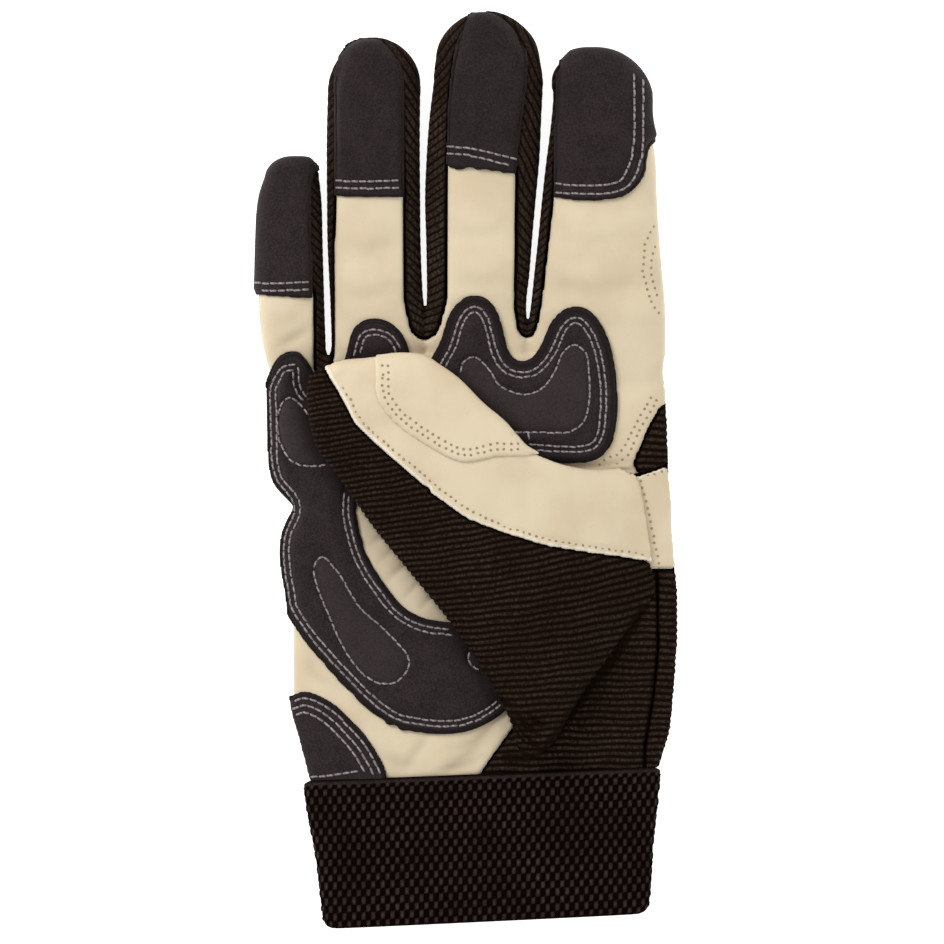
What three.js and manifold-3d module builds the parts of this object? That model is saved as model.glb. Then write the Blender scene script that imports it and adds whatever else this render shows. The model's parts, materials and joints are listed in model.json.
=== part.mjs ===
// Right-hand protective work glove, lying palm up with its thumb folded across the palm.
// Cream leather palm and finger fronts, black rib-knit back and side walls, padded dark suede
// fingertips and palm pads, and an elastic cuff. Each sewn piece is a solid of its own.
// Millimetres. X runs towards the thumb side, Y towards the fingertips, Z up out of the palm.
// The glove is hollow from the open cuff into every finger and into the thumb.

import * as THREE from "three";
import { mergeVertices } from "three/addons/utils/BufferGeometryUtils.js";
import Module from "manifold-3d";

const wasm = await Module();
wasm.setup();

// Driving dimensions: cloth and leather
const WALL = 1.6; // leather and knit
const CAP_SUEDE = 1.3; // fingertip caps
const PAD_SUEDE = 1.6; // foam-backed pads
const PAD_RISE = 0.9; // how far the stitched inner pads stand above the pad
const PATCH = 0.9; // second leather layer on the thumb
const GAP = 0.3; // clearance between sewn pieces
const SEAM_HEIGHT = 4.2; // where the palm side is sewn to the back

// Driving dimensions: section shape
const ROUNDNESS = 2.5; // exponent of the limbs' cross-section, 2 is an ellipse
const FLAT_SHARE = 0.15; // share of the height that is pressed flat against the surface
const SIDES = { hand: 24, finger: 16, thumb: 18, cuff: 20 }; // faces round the outside
const HOLLOW_SIDES = { hand: 16, finger: 10, thumb: 14, cuff: 20 }; // faces round the hollow
const TIP_ANGLES = [25, 48, 67, 82].map(THREE.MathUtils.degToRad);
const TIP_PROFILE = 0.55; // how blunt a fingertip is from the side, 1 is an ellipse
const OUTLINE_STEPS = 2; // short straight steps between two points of a smooth outline
const THINNEST = 0.5; // smallest half width or half height of a closing ring

// Driving dimensions: hand and cuff
const WRIST_Y = -83.7; // lower edge of the hand, where the cuff is sewn on
const WEB_Y = 31.1; // web between the little and the ring finger
const CUFF_WALL = 2.2;
const THUMB_MIDDLE = 16.7; // height of the thumb's edges, down to which its second layer wraps

// Cutting solids, which run well past the glove
const CLEAR = 20; // below the surface and past open ends
const HIGH = 60; // above the surface
const BROAD = 160; // to every side
const CAP_END_STEPS = 10; // short straight steps round the end of a fingertip cap
const FOLD_SIDES = 6;
const FOLD_STEPS = 4;

// Turns rows of numbers into rows with named columns.
function table(names, rows) {
  return rows.map((row) => Object.fromEntries(names.map((name, i) => [name, row[i]])));
}

// The hand from the wrist to the web, without the pads that wrap its edges
const HAND = table(["y", "left", "right", "top"], [
  [WRIST_Y, -42.2, 50.6, 9.4],
  [-73.5, -44.8, 54.0, 9.6],
  [-63.0, -46.4, 55.0, 9.8],
  [-41.0, -47.4, 56.0, 9.8],
  [-29.0, -49.6, 55.6, 9.8],
  [-9.5, -47.2, 54.4, 9.8],
  [-2.0, -51.8, 53.8, 9.8],
  [8.0, -53.1, 53.4, 9.8],
  [19.0, -53.5, 52.3, 9.8],
  [WEB_Y, -53.0, 51.2, 9.3],
]);

// Fingers from inside the palm to where the tip starts to round
const FINGERS = {
  little: {
    rows: table(["y", "left", "right", "top"], [
      [26.0, -51.5, -40.0, 8.4],
      [WEB_Y, -53.6, -39.4, 9.8],
      [36.0, -55.6, -39.5, 10.6],
      [45.0, -57.0, -39.6, 11.2],
      [50.0, -56.8, -39.7, 11.2],
      [75.0, -56.2, -40.6, 10.6],
    ]),
    tip: { x: -48.9, y: 84.0 },
  },
  ring: {
    rows: table(["y", "left", "right", "top"], [
      [26.0, -37.6, -13.0, 8.4],
      [WEB_Y, -38.5, -11.6, 9.9],
      [42.0, -38.6, -11.8, 11.2],
      [48.0, -38.6, -13.2, 11.8],
      [74.0, -39.3, -13.3, 12.2],
      [103.0, -39.0, -13.6, 11.4],
    ]),
    tip: { x: -26.2, y: 116.5 },
  },
  middle: {
    rows: table(["y", "left", "right", "top"], [
      [26.0, -11.6, 15.6, 8.4],
      [WEB_Y, -12.8, 17.0, 9.9],
      [40.0, -13.0, 16.9, 11.0],
      [47.0, -12.4, 15.7, 12.0],
      [72.0, -12.5, 17.6, 12.4],
      [96.0, -11.8, 19.9, 12.2],
      [106.0, -10.6, 20.2, 11.8],
    ]),
    tip: { x: 4.6, y: 123.6 },
  },
  index: {
    rows: table(["y", "left", "right", "top"], [
      [26.0, 16.0, 50.4, 8.4],
      [WEB_Y, 14.6, 52.6, 9.9],
      [39.0, 15.0, 52.6, 11.0],
      [44.0, 16.5, 52.6, 12.0],
      [56.0, 17.3, 52.3, 12.4],
      [72.0, 19.4, 51.0, 12.4],
      [77.0, 19.8, 49.4, 12.3],
      [103.0, 22.4, 47.9, 11.6],
    ]),
    tip: { x: 34.0, y: 114.0 },
  },
};

// The thumb from its base seam at the right edge, over the palm, to its tip at the left.
// Each row is one cut across it: its far edge, its near edge and its height above the surface.
const THUMB = table(["farX", "farY", "nearX", "nearY", "low", "high"], [
  [46.4, 0.0, 50.5, -35.5, 2.5, 9.2],
  [40.4, 0.3, 42.8, -44.2, 4.0, 12.8],
  [33.3, 0.3, 35.0, -55.0, 7.5, 16.8],
  [26.5, 1.5, 27.6, -66.0, 10.8, 19.8],
  [20.5, 3.5, 20.8, -76.0, 13.0, 21.6],
  [17.0, 5.5, 14.0, -78.2, 13.3, 22.2],
  [14.2, 8.7, 10.2, -67.0, 13.3, 22.6],
  [10.4, 13.4, 2.2, -52.4, 13.3, 22.6],
  [4.6, 18.6, -6.3, -40.4, 13.3, 22.6],
  [-2.2, 24.6, -16.9, -27.3, 13.3, 22.6],
  [-8.2, 28.4, -26.8, -15.0, 13.3, 22.5],
  [-13.7, 31.1, -35.5, -2.2, 13.3, 22.2],
  [-20.5, 31.4, -42.0, 6.8, 13.3, 21.9],
  [-28.7, 30.0, -44.2, 17.7, 13.4, 21.2],
  [-36.9, 28.9, -44.0, 24.6, 13.9, 19.6],
  [-39.3, 28.1, -43.4, 26.2, 14.8, 18.2],
]);

// The cuff from its mouth to the wrist seam
const CUFF = table(["y", "left", "right", "top"], [
  [-123.0, -40.3, 48.6, 10.4],
  [-117.0, -41.0, 49.1, 10.6],
  [-103.5, -42.5, 50.1, 10.6],
  [-90.0, -44.8, 51.6, 10.6],
  [WRIST_Y - GAP, -45.4, 52.1, 10.4],
]);

// Outlines seen from above. Smooth ones are curves through these points.
const KNUCKLE_PAD = [
  [-10.6, 29.0], [-8.5, 36.5], [-4.5, 45.2], [1.5, 48.0], [6.5, 45.6], [9.5, 37.0], [14.5, 29.5],
  [20.0, 36.5], [25.5, 44.0], [32.0, 44.2], [37.0, 37.0], [40.0, 23.0], [39.6, 10.0], [36.0, 4.0],
  [29.0, 2.0], [16.5, 6.5], [2.0, 17.0],
];
const KNUCKLE_INNER = [
  [-2.6, 28.0], [0.5, 31.0], [4.5, 27.4], [9.5, 21.8], [16.5, 20.5], [22.6, 25.0], [26.0, 33.0],
  [30.4, 33.6], [32.1, 26.0], [31.6, 14.2], [27.0, 10.0], [13.0, 10.4], [4.0, 18.4],
];
const HEEL_PAD = [
  [-46.3, 32.2], [-49.0, 33.0], [-60.0, 32.0], [-62.0, 10.0], [-60.0, -8.0], [-60.0, -30.0],
  [-54.0, -42.0], [-44.6, -47.4], [-34.5, -59.0], [-21.0, -69.6], [-8.0, -72.4], [4.0, -69.6],
  [13.5, -61.5], [14.0, -52.0], [3.0, -43.4], [-10.5, -41.0], [-19.0, -36.5], [-28.0, -24.5],
  [-31.4, -10.0], [-26.0, 5.0], [-16.8, 20.0], [-16.6, 33.0], [-20.4, 39.4], [-26.0, 41.5],
  [-31.4, 39.4], [-34.0, 31.0], [-36.4, 25.0], [-39.6, 22.8], [-42.2, 26.0],
];
const HEEL_INNER = [
  [-42.6, -26.6], [-40.4, -23.8], [-35.6, -28.4], [-30.5, -37.0], [-21.5, -45.5], [-16.5, -52.4],
  [-20.0, -57.8], [-25.6, -58.0], [-32.0, -52.5], [-37.5, -42.0],
];
const EDGE_INNER = [
  [-52.4, 15.0], [-49.6, 19.7], [-45.6, 17.0], [-40.5, 8.0], [-38.2, 2.6], [-43.0, 0.9], [-48.6, 2.4],
  [-51.8, 8.0],
];
const CENTRE_INNER = [
  [-0.6, -51.2], [1.8, -54.4], [7.0, -53.0], [11.0, -56.0], [8.0, -61.0], [2.0, -60.0],
];
const WRIST_PATCH = [
  [-60.0, -60.2], [-46.0, -60.2], [-38.4, -63.2], [-31.0, -70.0], [-26.0, -76.5], [-22.8, -84.0],
  [-26.0, -94.0], [-60.0, -94.0],
];
const CROTCH_PATCH = [
  [-25.6, 25.0], [-25.2, 20.0], [-21.5, 14.0], [-11.5, 6.6], [-2.0, 2.2], [7.0, 3.6], [17.5, 3.6],
  [24.0, 0.6], [30.0, 4.0], [16.0, 20.0], [-6.0, 38.0], [-24.0, 38.0],
];
const THUMB_KNIT = [
  [-39.6, 27.6], [-34.5, 19.0], [-31.0, 12.0], [-21.5, 3.5], [-9.5, -7.0], [-1.0, -12.8],
  [10.5, -17.2], [21.5, -20.4], [36.0, -22.6], [54.0, -25.4], [60.0, -90.0], [-60.0, -90.0],
  [-60.0, 30.0], [-45.0, 31.5],
];
const WRIST_KNIT = [
  [50.9, -27.4], [51.3, -48.5], [49.9, -63.0], [47.7, -76.8], [47.4, -100.0], [-4.0, -100.0],
  [4.1, -81.6], [11.5, -71.5], [22.0, -58.0], [33.0, -42.0], [33.0, -27.4],
];
const SIDE_KNIT = [
  [51.2, -27.4], [51.6, -48.5], [50.2, -63.0], [48.0, -76.8], [47.7, -100.0], [70.0, -100.0],
  [70.0, -27.4],
];
const SIDE_LEATHER = [
  [43.2, -2.0], [46.6, -1.6], [53.5, 0.9], [70.0, 0.9], [70.0, -27.1], [48.2, -27.1],
];
const GUSSET = [
  [45.0, 1.6], [48.5, 10.0], [52.4, 17.4], [70.0, 17.4], [70.0, 1.2], [53.5, 1.2], [46.6, -1.3],
];
const SIDE_WALLS = {
  side_wall_little_ring: [
    [-42.3, 28.0], [-42.3, 75.0], [-44.0, 82.0], [-47.4, 86.5], [-40.4, 92.0], [-40.4, 118.0],
    [-31.0, 119.5], [-35.0, 111.5], [-37.2, 102.0], [-37.4, 60.0], [-37.4, 34.0], [-38.0, 28.0],
  ],
  side_wall_ring_middle: [
    [-17.6, 46.0], [-17.6, 99.0], [-19.0, 108.5], [-23.6, 117.0], [-20.0, 122.0], [-3.2, 126.0],
    [-5.4, 117.0], [-6.4, 106.0], [-6.7, 46.0], [-9.0, 37.6], [-12.4, 35.4], [-15.8, 37.6],
  ],
  side_wall_middle_index: [
    [12.4, 45.0], [12.9, 62.0], [14.0, 84.0], [14.2, 102.0], [12.4, 113.0], [7.6, 124.0],
    [20.0, 126.0], [28.0, 118.0], [24.4, 110.0], [22.9, 100.0], [22.6, 76.0], [20.4, 56.0],
    [19.2, 45.0], [17.6, 37.6], [15.6, 36.0], [13.4, 37.6],
  ],
};

// Fingertip caps: side edges, where the end starts to round, how far it reaches, lower edge
const CAPS = {
  little: { left: -64.0, right: -42.6, shoulder: 74.0, top: 90.0,
    lower: [[-42.6, 46.6], [-50.0, 46.9], [-58.0, 47.6], [-64.0, 47.6]] },
  ring: { left: -37.1, right: -17.9, shoulder: 99.0, top: 122.0,
    lower: [[-17.9, 74.0], [-27.0, 74.3], [-37.1, 74.6]] },
  middle: { left: -6.1, right: 13.9, shoulder: 103.0, top: 130.0,
    lower: [[13.9, 79.6], [8.0, 80.3], [2.0, 82.2], [-6.1, 83.4]] },
  index: { left: 22.9, right: 60.0, shoulder: 100.0, top: 124.0,
    lower: [[60.0, 92.0], [49.7, 88.5], [47.6, 80.0], [42.5, 74.8], [34.0, 73.2], [22.9, 74.2]] },
};

// Gathers, where the folded thumb's knit is pinched against the wrist, and leather creases there
const FOLD_WIDTH = 1.7;
const FOLD_RISE = 1.1;
const KNIT_GATHERS = table(["x", "y", "z", "turn", "length"], [
  [11.6, -68.0, 19.4, 130, 9.0],
  [13.4, -72.6, 19.2, 122, 9.0],
  [16.4, -73.8, 19.6, 104, 9.0],
  [19.8, -72.6, 20.0, 84, 9.0],
  [23.0, -69.6, 19.4, 66, 8.0],
]);
const LEATHER_CREASES = table(["x", "y", "z", "turn", "length"], [
  [-4.0, -77.6, 9.5, 24, 10.0],
  [-9.0, -80.4, 9.4, 12, 9.0],
  [3.2, -74.4, 9.6, 48, 8.0],
]);

// Colours as the photograph shows them
const MATERIALS = {
  leather: new THREE.MeshStandardMaterial({ color: 0xdccbab, roughness: 0.62, metalness: 0 }),
  suede: new THREE.MeshStandardMaterial({ color: 0x3a3338, roughness: 0.92, metalness: 0 }),
  knit: new THREE.MeshStandardMaterial({ color: 0x211b18, roughness: 0.9, metalness: 0 }),
  elastic: new THREE.MeshStandardMaterial({ color: 0x1d1819, roughness: 0.85, metalness: 0 }),
};

// Solids and cuts

// A closed solid from an indexed surface.
function solidOf(geometry) {
  const mesh = new wasm.Mesh({
    numProp: 3,
    vertProperties: new Float32Array(geometry.getAttribute("position").array),
    triVerts: new Uint32Array(geometry.getIndex().array),
  });
  return new wasm.Manifold(mesh);
}

// The largest single body of a cut, without the crumbs that a cut leaves at its corners.
function mainBody(solid) {
  const bodies = solid.decompose();
  return bodies.reduce((largest, body) => (body.volume() > largest.volume() ? body : largest));
}

function joined(solids) {
  return solids.reduce((whole, solid) => whole.add(solid));
}

// A vertical solid over an outline, from one height to another.
function prism(outline, low, high) {
  const shape = new THREE.Shape(outline);
  const geometry = new THREE.ExtrudeGeometry(shape, { depth: high - low, bevelEnabled: false });
  geometry.deleteAttribute("normal");
  geometry.deleteAttribute("uv");
  geometry.translate(0, 0, low);
  return solidOf(mergeVertices(geometry));
}

function straightOutline(points) {
  return points.map(([x, y]) => new THREE.Vector2(x, y));
}

// A closed curve through the points, cut into short straight steps.
function smoothOutline(points, stepsPerPoint) {
  const knots = points.map(([x, y]) => new THREE.Vector3(x, y, 0));
  const curve = new THREE.CatmullRomCurve3(knots, true, "centripetal");
  const steps = curve.getPoints(points.length * stepsPerPoint).slice(0, -1);
  return steps.map((point) => new THREE.Vector2(point.x, point.y));
}

// The outline moved outwards, or inwards for a negative distance.
function offsetOutline(outline, distance) {
  const turn = THREE.ShapeUtils.isClockWise(outline) ? -1 : 1;
  return outline.map((point, i) => {
    const before = outline[(i + outline.length - 1) % outline.length];
    const after = outline[(i + 1) % outline.length];
    const arriving = point.clone().sub(before).normalize();
    const leaving = after.clone().sub(point).normalize();
    const along = arriving.clone().add(leaving).normalize();
    const stretch = distance / Math.max(along.dot(arriving), THINNEST);
    return new THREE.Vector2(point.x + along.y * turn * stretch, point.y - along.x * turn * stretch);
  });
}

// Limbs

// One ring round a limb, from the right-hand edge over the top. Below the floor it is pressed flat.
function ringPoints(station, grow, sides) {
  const across = station.right.clone().sub(station.left).normalize();
  const centre = station.left.clone().add(station.right).multiplyScalar(0.5);
  const halfWidth = Math.max(station.left.distanceTo(station.right) / 2 + grow, THINNEST);
  const halfHeight = Math.max((station.high - station.low) / 2 + grow, THINNEST);
  const middle = (station.high + station.low) / 2;
  const power = 2 / ROUNDNESS;
  const floor = Math.max(0, -grow);
  const points = [];
  for (let i = 0; i < sides; i += 1) {
    const angle = (2 * Math.PI * (i + 0.5)) / sides;
    const out = Math.sign(Math.cos(angle)) * Math.abs(Math.cos(angle)) ** power * halfWidth;
    const up = Math.sign(Math.sin(angle)) * Math.abs(Math.sin(angle)) ** power * halfHeight;
    const x = centre.x + across.x * out;
    const y = centre.y + across.y * out;
    points.push(new THREE.Vector3(x, y, Math.max(middle + up, floor)));
  }
  return points;
}

// A closed solid through the rings, with a fan of triangles over each end.
function loft(stations, grow, limb) {
  const sides = grow < 0 ? HOLLOW_SIDES[limb] : SIDES[limb];
  const rings = stations.map((station) => ringPoints(station, grow, sides));
  const first = rings[0];
  const last = rings[rings.length - 1];
  const average = (ring) => ring.reduce((sum, point) => sum.add(point), new THREE.Vector3())
    .divideScalar(ring.length);
  const points = [...rings.flat(), average(first), average(last)];
  const firstCentre = points.length - 2;
  const lastCentre = points.length - 1;
  const triangles = [];
  for (let side = 0; side < sides; side += 1) {
    const next = (side + 1) % sides;
    for (let i = 0; i + 1 < rings.length; i += 1) {
      const near = i * sides;
      const far = near + sides;
      triangles.push(near + side, far + side, far + next);
      triangles.push(near + side, far + next, near + next);
    }
    const end = (rings.length - 1) * sides;
    triangles.push(firstCentre, side, next);
    triangles.push(lastCentre, end + next, end + side);
  }
  const geometry = new THREE.BufferGeometry().setFromPoints(points);
  geometry.setIndex(triangles);
  return solidOf(geometry);
}

// A cut across the hand, a finger or the cuff, which all run along Y and rest on the surface.
function restingStation(row) {
  return {
    left: new THREE.Vector2(row.left, row.y),
    right: new THREE.Vector2(row.right, row.y),
    low: -FLAT_SHARE * row.top,
    high: row.top,
  };
}

function moved(station, dy) {
  const shift = new THREE.Vector2(0, dy);
  return { ...station, left: station.left.clone().add(shift), right: station.right.clone().add(shift) };
}

// The hand. Its hollow runs out through the wrist, and its wall closes the web end.
function handSolid(grow) {
  const stations = HAND.map(restingStation);
  const last = stations.length - 1;
  stations[last] = moved(stations[last], grow);
  if (grow < 0) {
    stations.unshift(moved(stations[0], -CLEAR));
  }
  return loft(stations, grow, "hand");
}

// A finger, whose end rounds off in plan and from the side.
function fingerSolid(finger, grow) {
  const stations = finger.rows.map(restingStation);
  const start = stations[stations.length - 1];
  const length = finger.tip.y + grow - start.left.y;
  const halfWidth = start.left.distanceTo(start.right) / 2;
  const centre = (start.left.x + start.right.x) / 2;
  const middle = (start.high + start.low) / 2;
  for (const angle of TIP_ANGLES) {
    const width = halfWidth * Math.cos(angle);
    const height = (start.high - middle) * Math.cos(angle) ** TIP_PROFILE;
    const y = start.left.y + length * Math.sin(angle);
    const x = THREE.MathUtils.lerp(centre, finger.tip.x, Math.sin(angle));
    stations.push({
      left: new THREE.Vector2(x - width, y),
      right: new THREE.Vector2(x + width, y),
      low: middle - height,
      high: middle + height,
    });
  }
  return loft(stations, grow, "finger");
}

// The thumb. Both of its ends are closed, and it opens into the hand where the two hollows meet.
function thumbSolid(grow) {
  const stations = THUMB.map((row) => ({
    left: new THREE.Vector2(row.nearX, row.nearY),
    right: new THREE.Vector2(row.farX, row.farY),
    low: row.low,
    high: row.high,
  }));
  const slid = (end, neighbour) => {
    const slide = (point, towards) => point.clone()
      .add(point.clone().sub(towards).normalize().multiplyScalar(grow));
    return { ...end, left: slide(end.left, neighbour.left), right: slide(end.right, neighbour.right) };
  };
  const last = stations.length - 1;
  const firstStation = slid(stations[0], stations[1]);
  const lastStation = slid(stations[last], stations[last - 1]);
  return loft([firstStation, ...stations.slice(1, last), lastStation], grow, "thumb");
}

// Hand and fingers together, grown by a distance or shrunk to their hollow.
function handAndFingers(grow) {
  const fingers = Object.values(FINGERS).map((finger) => fingerSolid(finger, grow));
  return joined([handSolid(grow), ...fingers]);
}

// One rounded ridge of cloth, lying along its turn.
function fold(row) {
  const geometry = new THREE.SphereGeometry(1, FOLD_SIDES, FOLD_STEPS);
  geometry.deleteAttribute("normal");
  geometry.deleteAttribute("uv");
  geometry.scale(row.length / 2, FOLD_WIDTH / 2, FOLD_RISE);
  geometry.rotateZ(THREE.MathUtils.degToRad(row.turn));
  geometry.translate(row.x, row.y, row.z);
  return solidOf(mergeVertices(geometry));
}

// The sewn shell
const everythingOutline = straightOutline([
  [-BROAD, -BROAD], [BROAD, -BROAD], [BROAD, BROAD], [-BROAD, BROAD],
]);
const belowSeam = prism(everythingOutline, -CLEAR, SEAM_HEIGHT - GAP / 2);
const aboveSeam = prism(everythingOutline, SEAM_HEIGHT + GAP / 2, HIGH);

const hand = handAndFingers(0);
const thumb = thumbSolid(0);
const hollow = handAndFingers(-WALL).add(thumbSolid(-WALL));
const overHand = handAndFingers(GAP);
const handShell = hand.subtract(hollow);
const thumbShell = thumb.subtract(hollow).subtract(overHand);

// Pieces of the palm side, cut out of the shell one after the other with a gap round each
const pieces = {};
let palmSide = handShell.intersect(aboveSeam);

function cutOut(name, outline, material) {
  const cutter = prism(outline, -CLEAR, HIGH);
  const widerCutter = prism(offsetOutline(outline, GAP), -CLEAR, HIGH);
  pieces[name] = { solid: mainBody(palmSide.intersect(cutter)), material };
  palmSide = palmSide.subtract(widerCutter);
}

for (const [name, points] of Object.entries(SIDE_WALLS)) {
  cutOut(name, straightOutline(points), MATERIALS.knit);
}
cutOut("side_gusset", straightOutline(GUSSET), MATERIALS.knit);
cutOut("side_leather", straightOutline(SIDE_LEATHER), MATERIALS.leather);
cutOut("side_knit", straightOutline(SIDE_KNIT), MATERIALS.knit);
cutOut("wrist_knit", straightOutline(WRIST_KNIT), MATERIALS.knit);
pieces.palm_leather = {
  solid: joined([mainBody(palmSide), ...LEATHER_CREASES.map(fold)]),
  material: MATERIALS.leather,
};
pieces.back_knit = { solid: mainBody(handShell.intersect(belowSeam)), material: MATERIALS.knit };

// The folded thumb, in its knit half and its leather half
const knitOutline = straightOutline(THUMB_KNIT);
const knitCutter = prism(knitOutline, -CLEAR, HIGH);
const leatherCutter = prism(offsetOutline(knitOutline, GAP), -CLEAR, HIGH);
pieces.thumb_knit = {
  solid: joined([mainBody(thumbShell.intersect(knitCutter)), ...KNIT_GATHERS.map(fold)]),
  material: MATERIALS.knit,
};
pieces.thumb_leather = {
  solid: mainBody(thumbShell.subtract(leatherCutter)),
  material: MATERIALS.leather,
};

// Layers sewn on top

// A sheet that lies on a body's upper side inside an outline.
function layer(bodyAt, outline, thickness, lowest) {
  const sheet = bodyAt(GAP + thickness).subtract(bodyAt(GAP));
  return sheet.intersect(prism(outline, lowest, HIGH));
}

// A pad: a sheet with thicker stitched islands.
function pad(outline, islands) {
  const lowest = SEAM_HEIGHT + GAP;
  const base = layer(handAndFingers, smoothOutline(outline, OUTLINE_STEPS), PAD_SUEDE, lowest);
  const raised = islands.map((island) => {
    return layer(handAndFingers, smoothOutline(island, OUTLINE_STEPS), PAD_SUEDE + PAD_RISE, lowest);
  });
  return mainBody(joined([base, ...raised]).subtract(thumbSolid(GAP)));
}

pieces.knuckle_pad = { solid: pad(KNUCKLE_PAD, [KNUCKLE_INNER]), material: MATERIALS.suede };
pieces.heel_pad = {
  solid: pad(HEEL_PAD, [HEEL_INNER, EDGE_INNER, CENTRE_INNER]),
  material: MATERIALS.suede,
};
const handSide = prism(straightOutline([
  [-BROAD, WRIST_Y], [BROAD, WRIST_Y], [BROAD, BROAD], [-BROAD, BROAD],
]), -CLEAR, HIGH);
pieces.wrist_patch = {
  solid: mainBody(layer(handSolid, smoothOutline(WRIST_PATCH, OUTLINE_STEPS), CAP_SUEDE, SEAM_HEIGHT + GAP)
    .intersect(handSide)),
  material: MATERIALS.suede,
};
pieces.crotch_patch = {
  solid: mainBody(layer(thumbSolid, smoothOutline(CROTCH_PATCH, OUTLINE_STEPS), PATCH, THUMB_MIDDLE)),
  material: MATERIALS.leather,
};

// A fingertip cap's outline: a drawn lower edge, straight sides and a rounded end.
function capOutline(cap) {
  const knots = cap.lower.map(([x, y]) => new THREE.Vector2(x, y));
  const lower = new THREE.SplineCurve(knots).getPoints(knots.length * OUTLINE_STEPS);
  const shape = new THREE.Path();
  const centre = (cap.left + cap.right) / 2;
  const halfWidth = (cap.right - cap.left) / 2;
  shape.absellipse(centre, cap.shoulder, halfWidth, cap.top - cap.shoulder, 0, Math.PI, false, 0);
  const end = shape.getPoints(CAP_END_STEPS);
  return [...end, ...lower.reverse()];
}

for (const [name, cap] of Object.entries(CAPS)) {
  const fingerAt = (grow) => fingerSolid(FINGERS[name], grow);
  const solid = layer(fingerAt, capOutline(cap), CAP_SUEDE, SEAM_HEIGHT + GAP);
  pieces[`tip_cap_${name}`] = { solid: mainBody(solid), material: MATERIALS.suede };
}

// The cuff, an open tube that butts against the wrist
const cuffStations = CUFF.map(restingStation);
const cuffHollow = [
  moved(cuffStations[0], -CLEAR),
  ...cuffStations.slice(1, -1),
  moved(cuffStations[cuffStations.length - 1], CLEAR),
];
pieces.cuff = {
  solid: loft(cuffStations, 0, "cuff").subtract(loft(cuffHollow, -CUFF_WALL, "cuff")),
  material: MATERIALS.elastic,
};

// The finished glove: one mesh for each piece, with its origin under the middle of its outline
const glove = new THREE.Group();
for (const [name, piece] of Object.entries(pieces)) {
  const surface = piece.solid.getMesh();
  const geometry = new THREE.BufferGeometry();
  geometry.setAttribute("position", new THREE.BufferAttribute(surface.vertProperties, 3));
  geometry.setIndex(new THREE.BufferAttribute(surface.triVerts, 1));
  geometry.computeVertexNormals();
  const mesh = new THREE.Mesh(geometry, piece.material);
  mesh.name = name;
  glove.add(mesh);
}
const box = new THREE.Box3().setFromObject(glove);
const footprint = box.getCenter(new THREE.Vector3()).setZ(box.min.z);
for (const mesh of glove.children) {
  mesh.position.copy(footprint).negate();
}

export default glove;
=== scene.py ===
# %% [markdown]
# # A padded work glove, lying palm up
#
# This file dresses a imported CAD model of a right-hand work glove in leather, suede, rib knit and
# woven elastic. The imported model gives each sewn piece's place and size. Here every piece is made
# again from the same patterns with a finer surface, so that seams, ribs and stitches can stand out
# of it as real shape. All the pattern tables are in millimetres, and Blender's scene is in metres.

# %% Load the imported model
import json

import bpy
import numpy as np
from mathutils import Matrix, Vector
from mathutils.bvhtree import BVHTree

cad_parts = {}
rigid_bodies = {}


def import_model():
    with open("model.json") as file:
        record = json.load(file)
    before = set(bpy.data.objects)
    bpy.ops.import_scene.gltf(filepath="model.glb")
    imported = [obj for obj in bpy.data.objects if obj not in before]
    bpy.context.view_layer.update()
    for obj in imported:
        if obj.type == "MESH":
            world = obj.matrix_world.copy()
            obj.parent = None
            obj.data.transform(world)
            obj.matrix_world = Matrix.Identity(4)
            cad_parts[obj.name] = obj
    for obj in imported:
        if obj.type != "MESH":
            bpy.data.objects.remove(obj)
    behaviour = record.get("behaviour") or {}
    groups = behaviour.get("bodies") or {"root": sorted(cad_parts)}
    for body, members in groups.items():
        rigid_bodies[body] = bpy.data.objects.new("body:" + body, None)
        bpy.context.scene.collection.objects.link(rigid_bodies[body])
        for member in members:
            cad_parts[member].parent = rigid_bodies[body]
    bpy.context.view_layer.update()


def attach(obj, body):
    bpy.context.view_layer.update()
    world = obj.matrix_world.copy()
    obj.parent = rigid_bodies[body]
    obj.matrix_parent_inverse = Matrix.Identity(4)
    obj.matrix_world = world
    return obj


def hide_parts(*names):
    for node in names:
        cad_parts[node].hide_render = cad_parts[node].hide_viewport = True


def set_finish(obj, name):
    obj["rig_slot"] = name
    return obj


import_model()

# %% [markdown]
# ## The camera
#
# The glove was photographed from straight above, with almost no perspective. A long lens from three
# metres up does the same: the raised thumb grows by less than one per cent.

# %% Put the camera straight above the glove
MM = 0.001
PATTERN_TO_MIDDLE = np.array([1.3465, -1.0066, 0.0])  # the patterns' origin from the middle of the glove, mm
VIEW_WIDTH = 257.7  # what the square picture shows at the height of the palm, mm
VIEW_CENTRE = (1.9, -1.6)  # mm from the middle of the glove
CAMERA_HEIGHT = 3000.0  # mm
PALM_HEIGHT = 10.0  # mm
SENSOR = 36.0  # mm

camera_data = bpy.data.cameras.new("camera")
camera_data.sensor_width = SENSOR
camera_data.lens = SENSOR * (CAMERA_HEIGHT - PALM_HEIGHT) / VIEW_WIDTH
camera_data.clip_end = 20.0
camera = bpy.data.objects.new("camera", camera_data)
camera.location = (VIEW_CENTRE[0] * MM, VIEW_CENTRE[1] * MM, CAMERA_HEIGHT * MM)
bpy.context.scene.collection.objects.link(camera)
bpy.context.scene.camera = camera
print("lens:", round(camera_data.lens), "mm")

# %% [markdown]
# ## Smooth curves
#
# A pattern is drawn with a few points and a smooth curve through them, as a pattern cutter would
# draw it with a French curve. The two helpers here do that for a row of measures and for an outline.


# %% Helpers for smooth curves
FINE_POINTS = 40  # a smooth curve is first drawn with this many points for each given one
BLOCK = 20000  # distances are worked out for this many points at a time


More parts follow.
